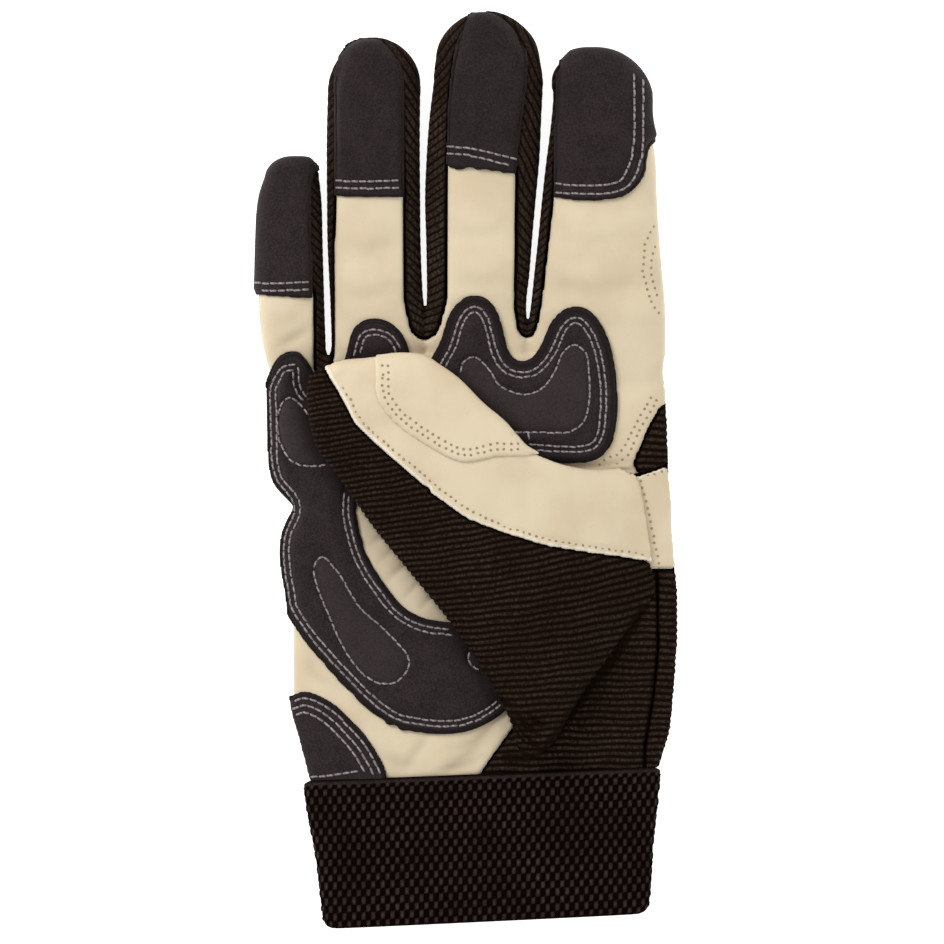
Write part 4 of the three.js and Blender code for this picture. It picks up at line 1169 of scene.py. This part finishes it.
def cuff_ring(y, grow, count):
    """Evenly spaced points round the cuff, and how far round each of them is."""
    rows = np.array(CUFF)
    left, right, top = through(rows[:, 0], rows[:, 1:], np.array([y]))[0]
    (lx, _), (rx, _), low, high = resting(y, left, right, top)
    out, up = oval(OVAL_POINTS)
    near_end = eased(-y, 117.0, -CUFF[0][0]) - 0.4 * eased(y, -87.0, CUFF_TOP)
    rounding = CORNER * near_end * np.abs(out) ** CORNER_SHARPNESS
    height = np.maximum((low + high) / 2 + up * ((high - low) / 2 + grow), max(0.0, -grow))
    ring = np.column_stack([(lx + rx) / 2 + out * ((rx - lx) / 2 + grow), y + rounding, height])
    ring = np.vstack([ring, ring[:1]])
    along = np.concatenate([[0.0], np.cumsum(np.linalg.norm(np.diff(ring, axis=0), axis=1))])
    at = np.linspace(0, along[-1], count + 1)[:-1]
    return np.stack([np.interp(at, along, ring[:, k]) for k in range(3)], axis=1), at


def tube(rings):
    """A skin laid out as rings of points that close on themselves both ways."""
    number = np.arange(len(rings) * len(rings[0])).reshape(len(rings), -1)
    ahead, beside = np.roll(number, -1, axis=0), np.roll(number, -1, axis=1)
    across = np.roll(ahead, -1, axis=1)
    return Skin(np.vstack(rings), np.stack([beside, across, ahead, number], axis=-1).reshape(-1, 4))


mouth, seam = CUFF[0][0], CUFF[-1][0]
rings, weave = [], []
for y in np.linspace(mouth + EDGE_ROLL, seam - EDGE_ROLL, CUFF_ROWS):
    ring, around = cuff_ring(y, 0.0, ROUND_CUFF)
    row = np.floor((y - mouth) / FLOAT_LENGTH)
    window = np.sin(np.pi * ((y - mouth) / FLOAT_LENGTH - row)) ** 0.5
    bound = eased(y, seam - 1.6, seam - 1.3)
    top = int(np.argmin(np.abs(ring[:, 0] - LEAN_MIDDLE) + 9 * (ring[:, 2] < 5.0)))
    around = around - around[top] - (ring[top, 0] - LEAN_MIDDLE)
    floats = np.cos(2 * np.pi * (around / FLOAT_PITCH + 0.5 * (row % 2))) * window
    weave.append(floats * (1 - bound) + 0.45 * bound)
    rings.append(ring)
turned_in = [(seam - 0.25, -0.25), (seam, -0.8), (seam, 0.5 - CUFF_WALL), (seam - 0.4, -CUFF_WALL)]
inside_rows = [(y, -CUFF_WALL) for y in np.linspace(seam - 3.0, mouth + 3.0, 10)]
turned_out = [(mouth + 0.4, -CUFF_WALL), (mouth, 0.5 - CUFF_WALL), (mouth, -0.8), (mouth + 0.25, -0.25)]
for y, grow in turned_in + inside_rows + turned_out:
    rings.append(cuff_ring(y, grow, ROUND_CUFF)[0])
    weave.append(np.zeros(ROUND_CUFF))
skin, weave = tube(rings), np.concatenate(weave)
skin.push(weave * FLOAT_RISE * 0.5 * eased(skin.points[:, 2], 0.05, 0.8))
# the floats get the painted crest highlight and the holes between them the painted valley shade
skin.masks["rise"] = 0.5 + 0.5 * weave
piece("cuff_elastic_weave", skin, "cuff", "cuff_elastic")

# %% Put the cutting solids away
thrown_away(*[made for made in scene.objects if made.name.startswith("solid")])
print("pieces:", len(PIECES))

# %% [markdown]
# ## Stitches
#
# The dark suede is sewn with a pale grey thread in double rows. Each stitch that shows is a short
# thread that comes up out of the suede, lies on it and goes down again. A needle's eye view is used to
# place them: every point of a row is dropped on the finished glove from above, and a stitch is made
# only where it meets the piece it belongs to. On the leather the thread is the leather's own colour and
# pulled in, so that only the needle holes show, as small dark-tan discs: partly the sunk thread, partly
# painted shade in the hole.

# %% Drop points on the glove
depsgraph = bpy.context.evaluated_depsgraph_get()
STRAIGHT_DOWN = Vector((0, 0, -1))
DROP_HEIGHT = 0.1  # metres


def dropped(places):
    """Where points over the glove land: place and surface direction in millimetres, and the piece's name."""
    flat = leaned(np.column_stack([places, np.zeros(len(places))])) + PATTERN_TO_MIDDLE
    landed = []
    for x, y, _ in flat:
        above = Vector((x * MM, y * MM, DROP_HEIGHT))
        hit, place, normal, _, made, _ = scene.ray_cast(depsgraph, above, STRAIGHT_DOWN)
        landed.append((np.array(place) / MM, np.array(normal), made.name if hit else ""))
    return landed


def stretches(line, good):
    """The stretches of a line along which its points are good."""
    return [run for run in np.split(line, np.flatnonzero(~good)) if len(run) > 3]


def inset(outline, distance):
    """A closed line a given distance inside an outline."""
    line = widened(outline, -distance)
    good = depth_in(line, outline) > distance - 0.15
    start = int(np.argmin(good)) if not good.all() else 0
    line, good = np.roll(line, -start, axis=0), np.roll(good, -start)
    return stretches(line, good)


# %% Sew a row
STITCH_PITCH = 2.2
STITCH_LENGTH = 1.95
STOPS = np.array([0.0, 0.2, 0.5, 0.8, 1.0])  # places along a stitch, as shares of its length
LIFT = np.array([-0.30, 0.10, 0.20, 0.10, -0.30])  # how high the thread lies there
THREAD = 0.3  # radius
SIDES = 6
STRAY = 0.06  # how far a stitch strays from its row
ROW_STEP = 0.2
FEW_POINTS = 40  # a row with fewer points than this is a sketch, which is drawn smooth


def circle(middle, side, front, radius, sides):
    """Points evenly round a circle."""
    return [middle + radius * (side * np.cos(turn) + front * np.sin(turn))
            for turn in 2 * np.pi * np.arange(sides) / sides]


def band(first, rings, sides):
    """The faces between rings of points, which are numbered one ring after the other."""
    corners = [(first + k * sides + i, first + k * sides + (i + 1) % sides)
               for k in range(rings - 1) for i in range(sides)]
    return [(a + sides, b + sides, b, a) for a, b in corners]


def stitched(rows, on, seed=1):
    """Stitches along rows, as one skin of many short threads."""
    random = np.random.default_rng(seed)
    points, faces = [], []
    for row in rows:
        line = drawn(row, ROW_STEP, smooth=len(row) < FEW_POINTS)
        for number in range(int(len(line) * ROW_STEP / STITCH_PITCH)):
            stops = np.clip((number * STITCH_PITCH + STOPS * STITCH_LENGTH) / ROW_STEP, 0, len(line) - 1)
            spots = np.stack([np.interp(stops, np.arange(len(line)), line[:, k]) for k in (0, 1)], axis=1)
            spots += random.normal(0, STRAY, 2)
            landed = dropped(spots)
            if any(made != on for _, _, made in landed):
                continue
            centre = np.array([place for place, _, _ in landed])
            up = np.array([normal for _, normal, _ in landed])
            centre += up * LIFT[:, None]
            ahead = np.gradient(centre, axis=0)
            ahead /= np.linalg.norm(ahead, axis=1, keepdims=True)
            side = np.cross(ahead, up)
            side /= np.linalg.norm(side, axis=1, keepdims=True)
            top = np.cross(side, ahead)
            first = len(points)
            for k in range(len(STOPS)):
                points += circle(centre[k], side[k], top[k], THREAD, SIDES)
            faces += band(first, len(STOPS), SIDES)
            last = len(points) - SIDES
            faces += [tuple(first + k for k in corners) for corners in ((0, 1, 2, 3), (0, 3, 4, 5))]
            faces += [tuple(last + k for k in corners) for corners in ((3, 2, 1, 0), (5, 4, 3, 0))]
    return Skin(np.array(points), np.array(faces))


knuckle_rows = inset(knuckle_outline, KNUCKLE_BORDER) + inset(knuckle_outline, KNUCKLE_BORDER + ROWS_APART)
knuckle_rows.append(drawn(KNUCKLE_INNER, OUTLINE_STEP, closed=True))
knuckle_rows.append(np.array([(15.8, 10.2), (16.2, 8.4), (16.0, 6.0)]))
heel_rows = inset(heel_outline, HEEL_BORDER) + inset(heel_outline, HEEL_BORDER + ROWS_APART)
heel_rows += [drawn(shape, OUTLINE_STEP, closed=True) for shape in (HEEL_INNER, EDGE_INNER, CENTRE_INNER)]
wrist_rows = inset(wrist_outline, 1.8) + inset(wrist_outline, 3.6) + inset(wrist_outline, 5.4)
wrist_rows.append(np.array([(-43.5, -82.4), (-37.0, -82.0), (-29.0, -81.0)]))
CAP_ROWS = {
    "little": [[(-59.0, 51.1), (-53.2, 50.8), (-46.4, 51.1), (-42.6, 51.3)],
               [(-59.0, 49.1), (-53.2, 48.9), (-46.4, 49.1), (-42.6, 49.4)]],
    "ring": [[(-36.8, 78.9), (-30.0, 78.6), (-18.2, 78.9)], [(-36.8, 77.0), (-30.0, 76.7), (-18.2, 77.0)]],
    "middle": [[(-6.3, 88.2), (0.0, 87.6), (13.1, 84.6)], [(-6.3, 86.3), (0.0, 85.7), (12.6, 82.4)]],
    "index": [[(23.2, 78.1), (30.0, 77.5), (37.7, 77.8), (41.0, 78.9), (43.1, 82.4), (44.5, 87.4),
               (44.8, 95.6), (44.8, 105.1), (44.6, 110.0)],
              [(23.2, 75.6), (30.0, 75.3), (38.8, 75.6), (42.9, 77.3), (45.6, 81.4), (47.0, 87.4),
               (47.2, 95.6), (47.2, 105.1), (47.0, 108.4)]],
}
suede_rows = {"knuckle_pad": knuckle_rows, "heel_pad": heel_rows, "wrist_patch": wrist_rows}
suede_rows.update({"tip_cap_" + name: rows for name, rows in CAP_ROWS.items()})
for name, rows in suede_rows.items():
    piece(name + "_stitches", stitched(rows, name + "_suede"), None, "dark_suede", in_place=True)

# %% Needle holes in the leather
HOLE_PITCH = 1.85
HOLE_STRAY = 0.08  # how far a hole strays from its row
HOLE_SIDES = 8
HOLE_RINGS = [(0.42, -0.15), (0.399, 0.03), (0.21, 0.05)]  # radius and height over the leather
# x, and how far the row of holes is from the leather's edge
THUMB_HEM = [(-36.0, 1.75), (-22.0, 1.8), (-15.0, 2.2), (0.0, 2.2), (10.0, 1.75), (47.0, 1.65)]
hem = rounded(THUMB_KNIT, 6)
hem_row = widened(hem, np.interp(hem[:, 0], *np.array(THUMB_HEM).T)[:, None])
hem_row = hem_row[(hem[:, 0] > -36.0) & (hem[:, 0] < 47.0) & (hem[:, 1] > -30.0)]
hem_row = hem_row[np.argsort(hem_row[:, 0])]
patch_rows = []
for distance in (1.8, 3.4):
    for row in inset(patch_outline, distance):
        x, y = row.T
        patch_rows += stretches(row, (x < 13.0) & (y < 28.0) & ((y < 12.0) | (x < -12.0)))
HOLE_ROWS = {
    "thumb_leather_skin": [hem_row],
    "crotch_patch_leather": patch_rows,
    "palm_leather_skin": [
        [(49.4, 19.7), (47.0, 15.6), (45.0, 12.0), (43.1, 8.2), (42.0, 6.3), (40.1, 4.1), (38.2, 3.5),
         (35.2, 1.6)],
        [(51.1, 19.1), (49.1, 15.6), (46.4, 10.9), (44.8, 7.4), (42.9, 3.5), (40.1, 1.9)],
        [(50.2, 66.3), (48.9, 64.2), (47.8, 62.0), (47.5, 58.1), (47.2, 53.5), (47.8, 51.3), (49.1, 47.2),
         (50.2, 44.5), (51.6, 42.9)],
        [(50.5, 60.9), (49.7, 57.6), (49.4, 53.5), (50.0, 51.3), (51.1, 47.8)]],
    "side_leather_panel": [[(48.6, -1.4), (52.0, -0.6), (56.0, -0.4)],
                           [(46.6, -3.0), (48.2, -9.0), (49.5, -15.0), (50.7, -21.0), (51.6, -25.5)]],
}


def needle_holes(rows, on, seed=2):
    """Small shallow cups along rows, dark with the sunk thread in them and painted shade in the hole, as one
    skin.
    """
    random = np.random.default_rng(seed)
    points, faces = [], []
    for row in rows:
        line = drawn(row, HOLE_PITCH, smooth=len(row) < FEW_POINTS)
        for place, up, made in dropped(line + random.normal(0, HOLE_STRAY, line.shape)):
            if made != on:
                continue
            side = np.cross(up, (0.0, 1.0, 0.0))
            side /= np.linalg.norm(side)
            front = np.cross(up, side)
            first = len(points)
            for radius, rise in HOLE_RINGS:
                points += circle(place + up * rise, side, front, radius, HOLE_SIDES)
            faces += band(first, len(HOLE_RINGS), HOLE_SIDES)
            for level, order in ((first, 1), (len(points) - HOLE_SIDES, -1)):
                faces += [tuple(level + k for k in corners)[::order]
                          for corners in ((0, 1, 2, 3), (3, 4, 5, 0), (5, 6, 7, 0))]
    return Skin(np.array(points), np.array(faces))


for on, rows in HOLE_ROWS.items():
    stem = on.rsplit("_", 1)[0]
    piece(stem + "_needle_holes", needle_holes(rows, on), None, "cream_leather", in_place=True)

# %% [markdown]
# ## The cuts that the pieces come from
#
# Every leather, knit and elastic piece was a flat cut before it was sewn. The sizes come from the
# patterns above, with what turns round the glove's side or over a fingertip added: the cuff is one
# band, as long as the way round the wrist.

SHEETS = {
    "palm_leather_skin": (118, 212, 16200, "laid", ["back_knit"]),
    "back_knit_skin": (122, 214, 20500, "laid", []),
    "side_wall_little_ring_knit": (19, 90, 780, "stretched", ["back_knit"]),
    "side_wall_ring_middle_knit": (30, 90, 1470, "stretched", ["back_knit"]),
    "side_wall_middle_index_knit": (23, 90, 1200, "stretched", ["back_knit"]),
    "side_gusset_panel": (10, 18, 105, "laid", ["back_knit"]),
    "side_knit_panel": (10, 54, 310, "laid", ["back_knit"]),
    "wrist_knit_panel": (48, 56, 1440, "laid", ["back_knit"]),
    "side_leather_panel": (12.5, 27, 250, "laid", ["back_knit"]),
    "wrist_patch_suede": (28, 26, 450, "laid", ["palm_leather"]),
    "tip_cap_little_suede": (24, 42, 790, "stretched", ["palm_leather"]),
    "tip_cap_ring_suede": (24, 45, 900, "stretched", ["palm_leather"]),
    "tip_cap_middle_suede": (26, 46, 930, "stretched", ["palm_leather"]),
    "tip_cap_index_suede": (32, 44, 1260, "stretched", ["palm_leather"]),
    "thumb_leather_skin": (90, 60, 4400, "folded", ["palm_leather", "heel_pad", "knuckle_pad"]),
    "thumb_knit_skin": (95, 106, 6300, "folded", ["wrist_knit", "heel_pad"]),
    "crotch_patch_leather": (44, 30, 880, "folded", ["thumb_leather"]),
    "cuff_elastic_weave": (205, 41, 8405, "stretched", ["back_knit", "palm_leather"]),
}
for name, (width, length, area, held, rests_on) in SHEETS.items():
    stem = name.rsplit("_", 1)[0]
print("sheets:", len(SHEETS))

# %% [markdown]
# ## Materials
#
# Each finish gets a material made of procedural nodes. What several finishes share is a node group,
# built once: the grain of a smooth hide, the nap of a brushed one, the twist of a yarn with a painted
# highlight on each loop, wear and painted light at the edges, and lint. The groups hand out masks and
# heights. The shader itself stays in each material.


# %% Helpers for nodes
def feed(tree, made, inputs):
    """Gives a node's inputs their values: a plain one, or another node's output."""
    for key, value in inputs.items():
        if isinstance(value, bpy.types.NodeSocket):
            tree.links.new(value, made.inputs[key])
        else:
            made.inputs[key].default_value = value


def add(tree, kind, inputs, **settings):
    made = tree.nodes.new(kind)
    for key, value in settings.items():
        setattr(made, key, value)
    feed(tree, made, inputs)
    return made


def maths(tree, operation, *values):
    return add(tree, "ShaderNodeMath", dict(enumerate(values)), operation=operation).outputs[0]


def times(tree, first, second):
    return maths(tree, "MULTIPLY", first, second)


def plus(tree, first, second):
    return maths(tree, "ADD", first, second)


def blended(tree, share, first, second):
    """The first colour where the share is 0, the second where it is 1."""
    return add(tree, "ShaderNodeMix", {0: share, 6: first, 7: second}, data_type="RGBA").outputs[2]


def ramp(tree, value, low, high, bottom=0.0, top=1.0):
    """From bottom to top as the value goes from low to high, with soft ends."""
    return add(tree, "ShaderNodeMapRange", {0: value, 1: low, 2: high, 3: bottom, 4: top},
               interpolation_type="SMOOTHSTEP").outputs[0]


def mask(tree, name):
    return add(tree, "ShaderNodeAttribute", {}, attribute_name=name).outputs["Fac"]


def place_on_piece(tree):
    return add(tree, "ShaderNodeTexCoord", {}).outputs["Object"]


def spotted(tree, kind, size, inputs, **settings):
    """A texture with spots of about the given size in millimetres. The size may be a node's output."""
    from_node = isinstance(size, bpy.types.NodeSocket)
    scale = maths(tree, "DIVIDE", 1000.0, size) if from_node else 1000.0 / size
    inputs = {"Vector": place_on_piece(tree), "Scale": scale, **inputs}
    return add(tree, "ShaderNodeTex" + kind, inputs, **settings).outputs[0]


def noise(tree, size, detail=2.0):
    return spotted(tree, "Noise", size, {"Detail": detail})


def group_of(name, inputs, outputs):
    """A new node group with named number inputs and outputs."""
    tree = bpy.data.node_groups.new(name, "ShaderNodeTree")
    for label, value in inputs.items():
        tree.interface.new_socket(label, in_out="INPUT", socket_type="NodeSocketFloat").default_value = value
    for label in outputs:
        tree.interface.new_socket(label, in_out="OUTPUT", socket_type="NodeSocketFloat")
    return tree, tree.nodes.new("NodeGroupInput").outputs, tree.nodes.new("NodeGroupOutput")


def with_group(tree, group, inputs):
    return add(tree, "ShaderNodeGroup", inputs, node_tree=group).outputs


def material_of(name):
    material = bpy.data.materials.new(name)
    material.use_nodes = True
    return material, material.node_tree, material.node_tree.nodes["Principled BSDF"]


def bumpy(tree, height, distance, strength):
    """Tilts the shading by a height from 0 to 1, which stands for a distance in millimetres."""
    inputs = {"Height": height, "Distance": distance * MM, "Strength": strength}
    return add(tree, "ShaderNodeBump", inputs).outputs[0]


# %% The grain of a smooth hide
tree, given, result = group_of("Hide grain", {"Cell size mm": 0.8, "Pore size mm": 1.5}, ["Height", "Pores"])
hide_grain = tree
cells = spotted(tree, "Voronoi", given["Cell size mm"], {}, feature="SMOOTH_F1")
wrinkle = noise(tree, given["Cell size mm"], 3.0)
pores = ramp(tree, spotted(tree, "Voronoi", given["Pore size mm"], {}), 0.04, 0.16, 1.0, 0.0)
height = plus(tree, times(tree, cells, -0.6), times(tree, wrinkle, 0.8))
feed(tree, result, {"Height": maths(tree, "SUBTRACT", height, pores), "Pores": pores})

# %% The nap of a brushed hide
nap_inputs = {"Fibre size mm": 0.22, "Patch size mm": 6.0}
tree, given, result = group_of("Brushed nap", nap_inputs, ["Height", "Shade"])
brushed_nap = tree
fibres = noise(tree, given["Fibre size mm"], 3.0)
tufts = noise(tree, times(tree, given["Fibre size mm"], 2.5))
patches = noise(tree, given["Patch size mm"], 4.0)
fine = times(tree, plus(tree, ramp(tree, fibres, 0.35, 0.7), ramp(tree, tufts, 0.35, 0.65)), 0.4)
shade = plus(tree, fine, times(tree, ramp(tree, patches, 0.3, 0.7), 0.2))
feed(tree, result, {"Height": fibres, "Shade": shade})

# %% The twist of a yarn, which starts at another place in every row, with a painted highlight on the top of each loop
yarn_inputs = {"Along mm": 0.0, "Row": 0.0, "Stitch mm": 2.0}
tree, given, result = group_of("Twisted yarn", yarn_inputs, ["Height", "Bright"])
twisted_yarn = tree
row = maths(tree, "ROUND", given["Row"])
row_start = add(tree, "ShaderNodeTexWhiteNoise", {"W": row}, noise_dimensions="1D").outputs[0]
stitches = maths(tree, "DIVIDE", given["Along mm"], given["Stitch mm"])
turns = plus(tree, stitches, plus(tree, row_start, noise(tree, 5.0)))
loop = maths(tree, "ABSOLUTE", maths(tree, "SINE", times(tree, turns, np.pi)))
feed(tree, result, {"Height": loop, "Bright": ramp(tree, loop, 0.15, 0.8)})

# %% Wear and painted light at the edges, broken up in spots
tree, given, result = group_of("Edge wear and painted light", {"Edge": 0.0, "Break up": 0.5, "Spot size mm": 1.2}, ["Mask"])
edge_wear_and_painted_light = tree
spots = maths(tree, "SUBTRACT", noise(tree, given["Spot size mm"], 3.0), 0.5)
broken = plus(tree, given["Edge"], times(tree, spots, given["Break up"]))
feed(tree, result, {"Mask": ramp(tree, broken, 0.15, 0.75)})

# %% Lint
tree, given, result = group_of("Lint", {"Spacing mm": 5.0, "Speck share": 0.06}, ["Mask"])
lint = tree
specks = spotted(tree, "Voronoi", given["Spacing mm"], {})
feed(tree, result, {"Mask": ramp(tree, specks, 0.0, given["Speck share"], 1.0, 0.0)})
print("shared effects:", [group.name for group in bpy.data.node_groups])

# %% Cream leather
CREAM_LIGHT = (0.68, 0.575, 0.405, 1.0)
CREAM_SHADE = (0.615, 0.505, 0.345, 1.0)
CREAM_DIRT = (0.36, 0.26, 0.16, 1.0)
CUT_HIDE_AND_HIGHLIGHT = (0.86, 0.79, 0.64, 1.0)
CREAM_SHADOW = (0.16, 0.115, 0.07, 1.0)
cream, tree, shader = material_of("cream grain leather")
grain = with_group(tree, hide_grain, {"Cell size mm": 0.7, "Pore size mm": 1.6})
mottled = blended(tree, ramp(tree, noise(tree, 16.0, 4.0), 0.35, 0.68), CREAM_LIGHT, CREAM_SHADE)
pored = blended(tree, times(tree, grain["Pores"], 0.12), mottled, CREAM_DIRT)
# near a seam the leather turns paler: partly the pale cut of the hide, partly a painted highlight on its lip
pale_edge = with_group(tree, edge_wear_and_painted_light, {"Edge": mask(tree, "edge"), "Break up": 0.7, "Spot size mm": 2.5})
edged = blended(tree, times(tree, pale_edge["Mask"], 0.75), pored, CUT_HIDE_AND_HIGHLIGHT)
feed(tree, shader, {"Base Color": blended(tree, mask(tree, "shade"), edged, CREAM_SHADOW),
                    "Roughness": ramp(tree, noise(tree, 3.0), 0.3, 0.7, 0.5, 0.64),
                    "Specular IOR Level": 0.25, "Normal": bumpy(tree, grain["Height"], 0.06, 0.5)})

# %% Dark suede
SUEDE_LIGHT = (0.0392, 0.0277, 0.0278, 1.0)
SUEDE_DARK = (0.0098, 0.0061, 0.0072, 1.0)
SUEDE_BORDER_AND_SHADOW = (0.0125, 0.0078, 0.0078, 1.0)
SUEDE_RUBBED = (0.058, 0.045, 0.043, 1.0)
SUEDE_LINT = (0.2, 0.18, 0.19, 1.0)
suede, tree, shader = material_of("dark brushed suede")
nap = with_group(tree, brushed_nap, {"Fibre size mm": 0.22, "Patch size mm": 5.0})
brushed = blended(tree, nap["Shade"], SUEDE_DARK, SUEDE_LIGHT)
rubbed = blended(tree, times(tree, mask(tree, "inner"), 0.26), brushed, SUEDE_RUBBED)
# towards its cut edge the suede turns near-black: partly pressed nap, partly painted shade where the edge
# falls away; the shade mask adds the painted shadow beside the thumb and the caps' darker tone
pressed = with_group(tree, edge_wear_and_painted_light, {"Edge": mask(tree, "edge"), "Break up": 0.35, "Spot size mm": 1.0})
dim = maths(tree, "MAXIMUM", pressed["Mask"], mask(tree, "shade"))
lit = blended(tree, dim, rubbed, SUEDE_BORDER_AND_SHADOW)
specks = with_group(tree, lint, {"Spacing mm": 4.0, "Speck share": 0.03})
feed(tree, shader, {"Base Color": blended(tree, times(tree, specks["Mask"], 0.4), lit, SUEDE_LINT),
                    "Roughness": ramp(tree, nap["Height"], 0.3, 0.7, 0.82, 1.0),
                    "Specular IOR Level": 0.08, "Sheen Weight": 0.04, "Sheen Roughness": 0.6,
                    "Normal": bumpy(tree, nap["Height"], 0.14, 0.8)})


# %% Black rib knit and the woven elastic
def knitted_material(name, crest_highlight_colour, valley_shade_colour, stitch, low, dashes, patchy):
    """Yarn with a painted highlight on the crests, broken into dashes along it, painted shade in the valleys,
    and patches of wear.
    """
    material, tree, shader = material_of(name)
    yarn_inputs = {"Along mm": mask(tree, "along"), "Row": mask(tree, "row"), "Stitch mm": stitch}
    yarn = with_group(tree, twisted_yarn, yarn_inputs)
    dashed = plus(tree, times(tree, yarn["Bright"], dashes), 1.0 - dashes)
    # the painted highlight follows the rib height, so the crests look lit and the valleys shaded
    highlight_on_crests = times(tree, ramp(tree, mask(tree, "rise"), low, 1.0), dashed)
    patches = times(tree, ramp(tree, noise(tree, 0.7, 3.0), 0.35, 0.65, 1.0 - patchy, 1.0),
                    ramp(tree, noise(tree, 14.0, 3.0), 0.3, 0.7, 0.6, 1.0))
    lit = times(tree, times(tree, highlight_on_crests, patches), maths(tree, "SUBTRACT", 1.0, mask(tree, "shade")))
    height = plus(tree, times(tree, yarn["Height"], dashes), noise(tree, 0.3))
    feed(tree, shader, {"Base Color": blended(tree, lit, valley_shade_colour, crest_highlight_colour),
                        "Roughness": ramp(tree, noise(tree, 0.6), 0.3, 0.7, 0.75, 0.95),
                        "Specular IOR Level": 0.025, "Normal": bumpy(tree, height, 0.12, 0.8)})
    return material


# each finish gets a painted crest highlight colour and then a painted valley shade colour
knit = knitted_material("black rib knit", (0.052, 0.0355, 0.0275, 1.0), (0.0062, 0.0027, 0.001, 1.0),
                        stitch=1.6, low=0.45, dashes=0.35, patchy=0.75)
elastic = knitted_material("black woven elastic", (0.055, 0.0385, 0.035, 1.0), (0.0026, 0.0005, 0.0001, 1.0),
                           stitch=0.6, low=0.42, dashes=0.0, patchy=0.45)


# %% Threads and needle holes
PLIES_PER_METRE = 1000.0 / 2.4


def thread_material(name, light, dark):
    material, tree, shader = material_of(name)
    inputs = {"Vector": place_on_piece(tree), "Scale": PLIES_PER_METRE, "Distortion": 2.0}
    plies = add(tree, "ShaderNodeTexWave", inputs, bands_direction="DIAGONAL").outputs[1]
    # between the plies the thread gets painted shade, with some random variation
    lit = times(tree, plies, noise(tree, 1.5))
    feed(tree, shader, {"Base Color": blended(tree, lit, dark, light), "Roughness": 0.6,
                        "Normal": bumpy(tree, plies, 0.05, 0.6)})
    return material


grey_thread = thread_material("grey sewing thread", (0.48, 0.415, 0.42, 1.0), (0.16, 0.128, 0.132, 1.0))
hole_thread_and_shade = thread_material("thread and painted shade in a needle hole", (0.42, 0.33, 0.21, 1.0),
                              (0.26, 0.195, 0.115, 1.0))

# %% Dress the pieces
FINISHES = {"cream_leather": cream, "dark_suede": suede, "black_knit": knit, "cuff_elastic": elastic}
for name, made in PIECES.items():
    finish = grey_thread if name.endswith("stitches") else hole_thread_and_shade if name.endswith("holes") else None
    made.data.materials.append(finish or FINISHES[made["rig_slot"]])

# %% [markdown]
# ## Light and floor
#
# The glove lies on white paper that is lit so brightly that it shows as plain white. A large lamp at
# the upper left gives the light its direction, and a weaker one fills the shadows.

# %% Paper and sky
PAPER_HALF, PAPER_DEPTH = 2.0, 0.0006  # metres
WHITE = (1.0, 1.0, 1.0, 1.0)
corners = [(x * PAPER_HALF, y * PAPER_HALF, -PAPER_DEPTH) for x, y in ((-1, -1), (1, -1), (1, 1), (-1, 1))]
floor_mesh = bpy.data.meshes.new("floor")
floor_mesh.from_pydata(corners, [], [(0, 1, 2, 3)])
floor = bpy.data.objects.new("floor", floor_mesh)
scene.collection.objects.link(floor)
paper, tree, shader = material_of("white paper")
clouded = blended(tree, noise(tree, 60.0), (0.93, 0.93, 0.93, 1.0), (0.95, 0.95, 0.95, 1.0))
feed(tree, shader, {"Base Color": clouded, "Roughness": 0.9, "Emission Color": WHITE,
                    "Emission Strength": 0.85})
floor_mesh.materials.append(paper)

scene.world = bpy.data.worlds.new("studio")
scene.world.use_nodes = True
feed(scene.world.node_tree, scene.world.node_tree.nodes["Background"], {"Color": WHITE, "Strength": 0.62})
scene.view_settings.view_transform = "Standard"


# %% Lamps
def lamp(name, place, size, power):
    """A square lamp that points at the middle of the glove. All lengths are in metres."""
    data = bpy.data.lights.new(name, "AREA")
    data.shape, data.size, data.energy = "SQUARE", size, power
    made = bpy.data.objects.new(name, data)
    made.location = place
    made.rotation_euler = (-Vector(place)).to_track_quat("-Z", "Y").to_euler()
    scene.collection.objects.link(made)


lamp("window", (-0.9, 0.9, 1.1), 0.7, 18.1)
lamp("fill", (1.2, -0.6, 1.0), 1.2, 6.5)
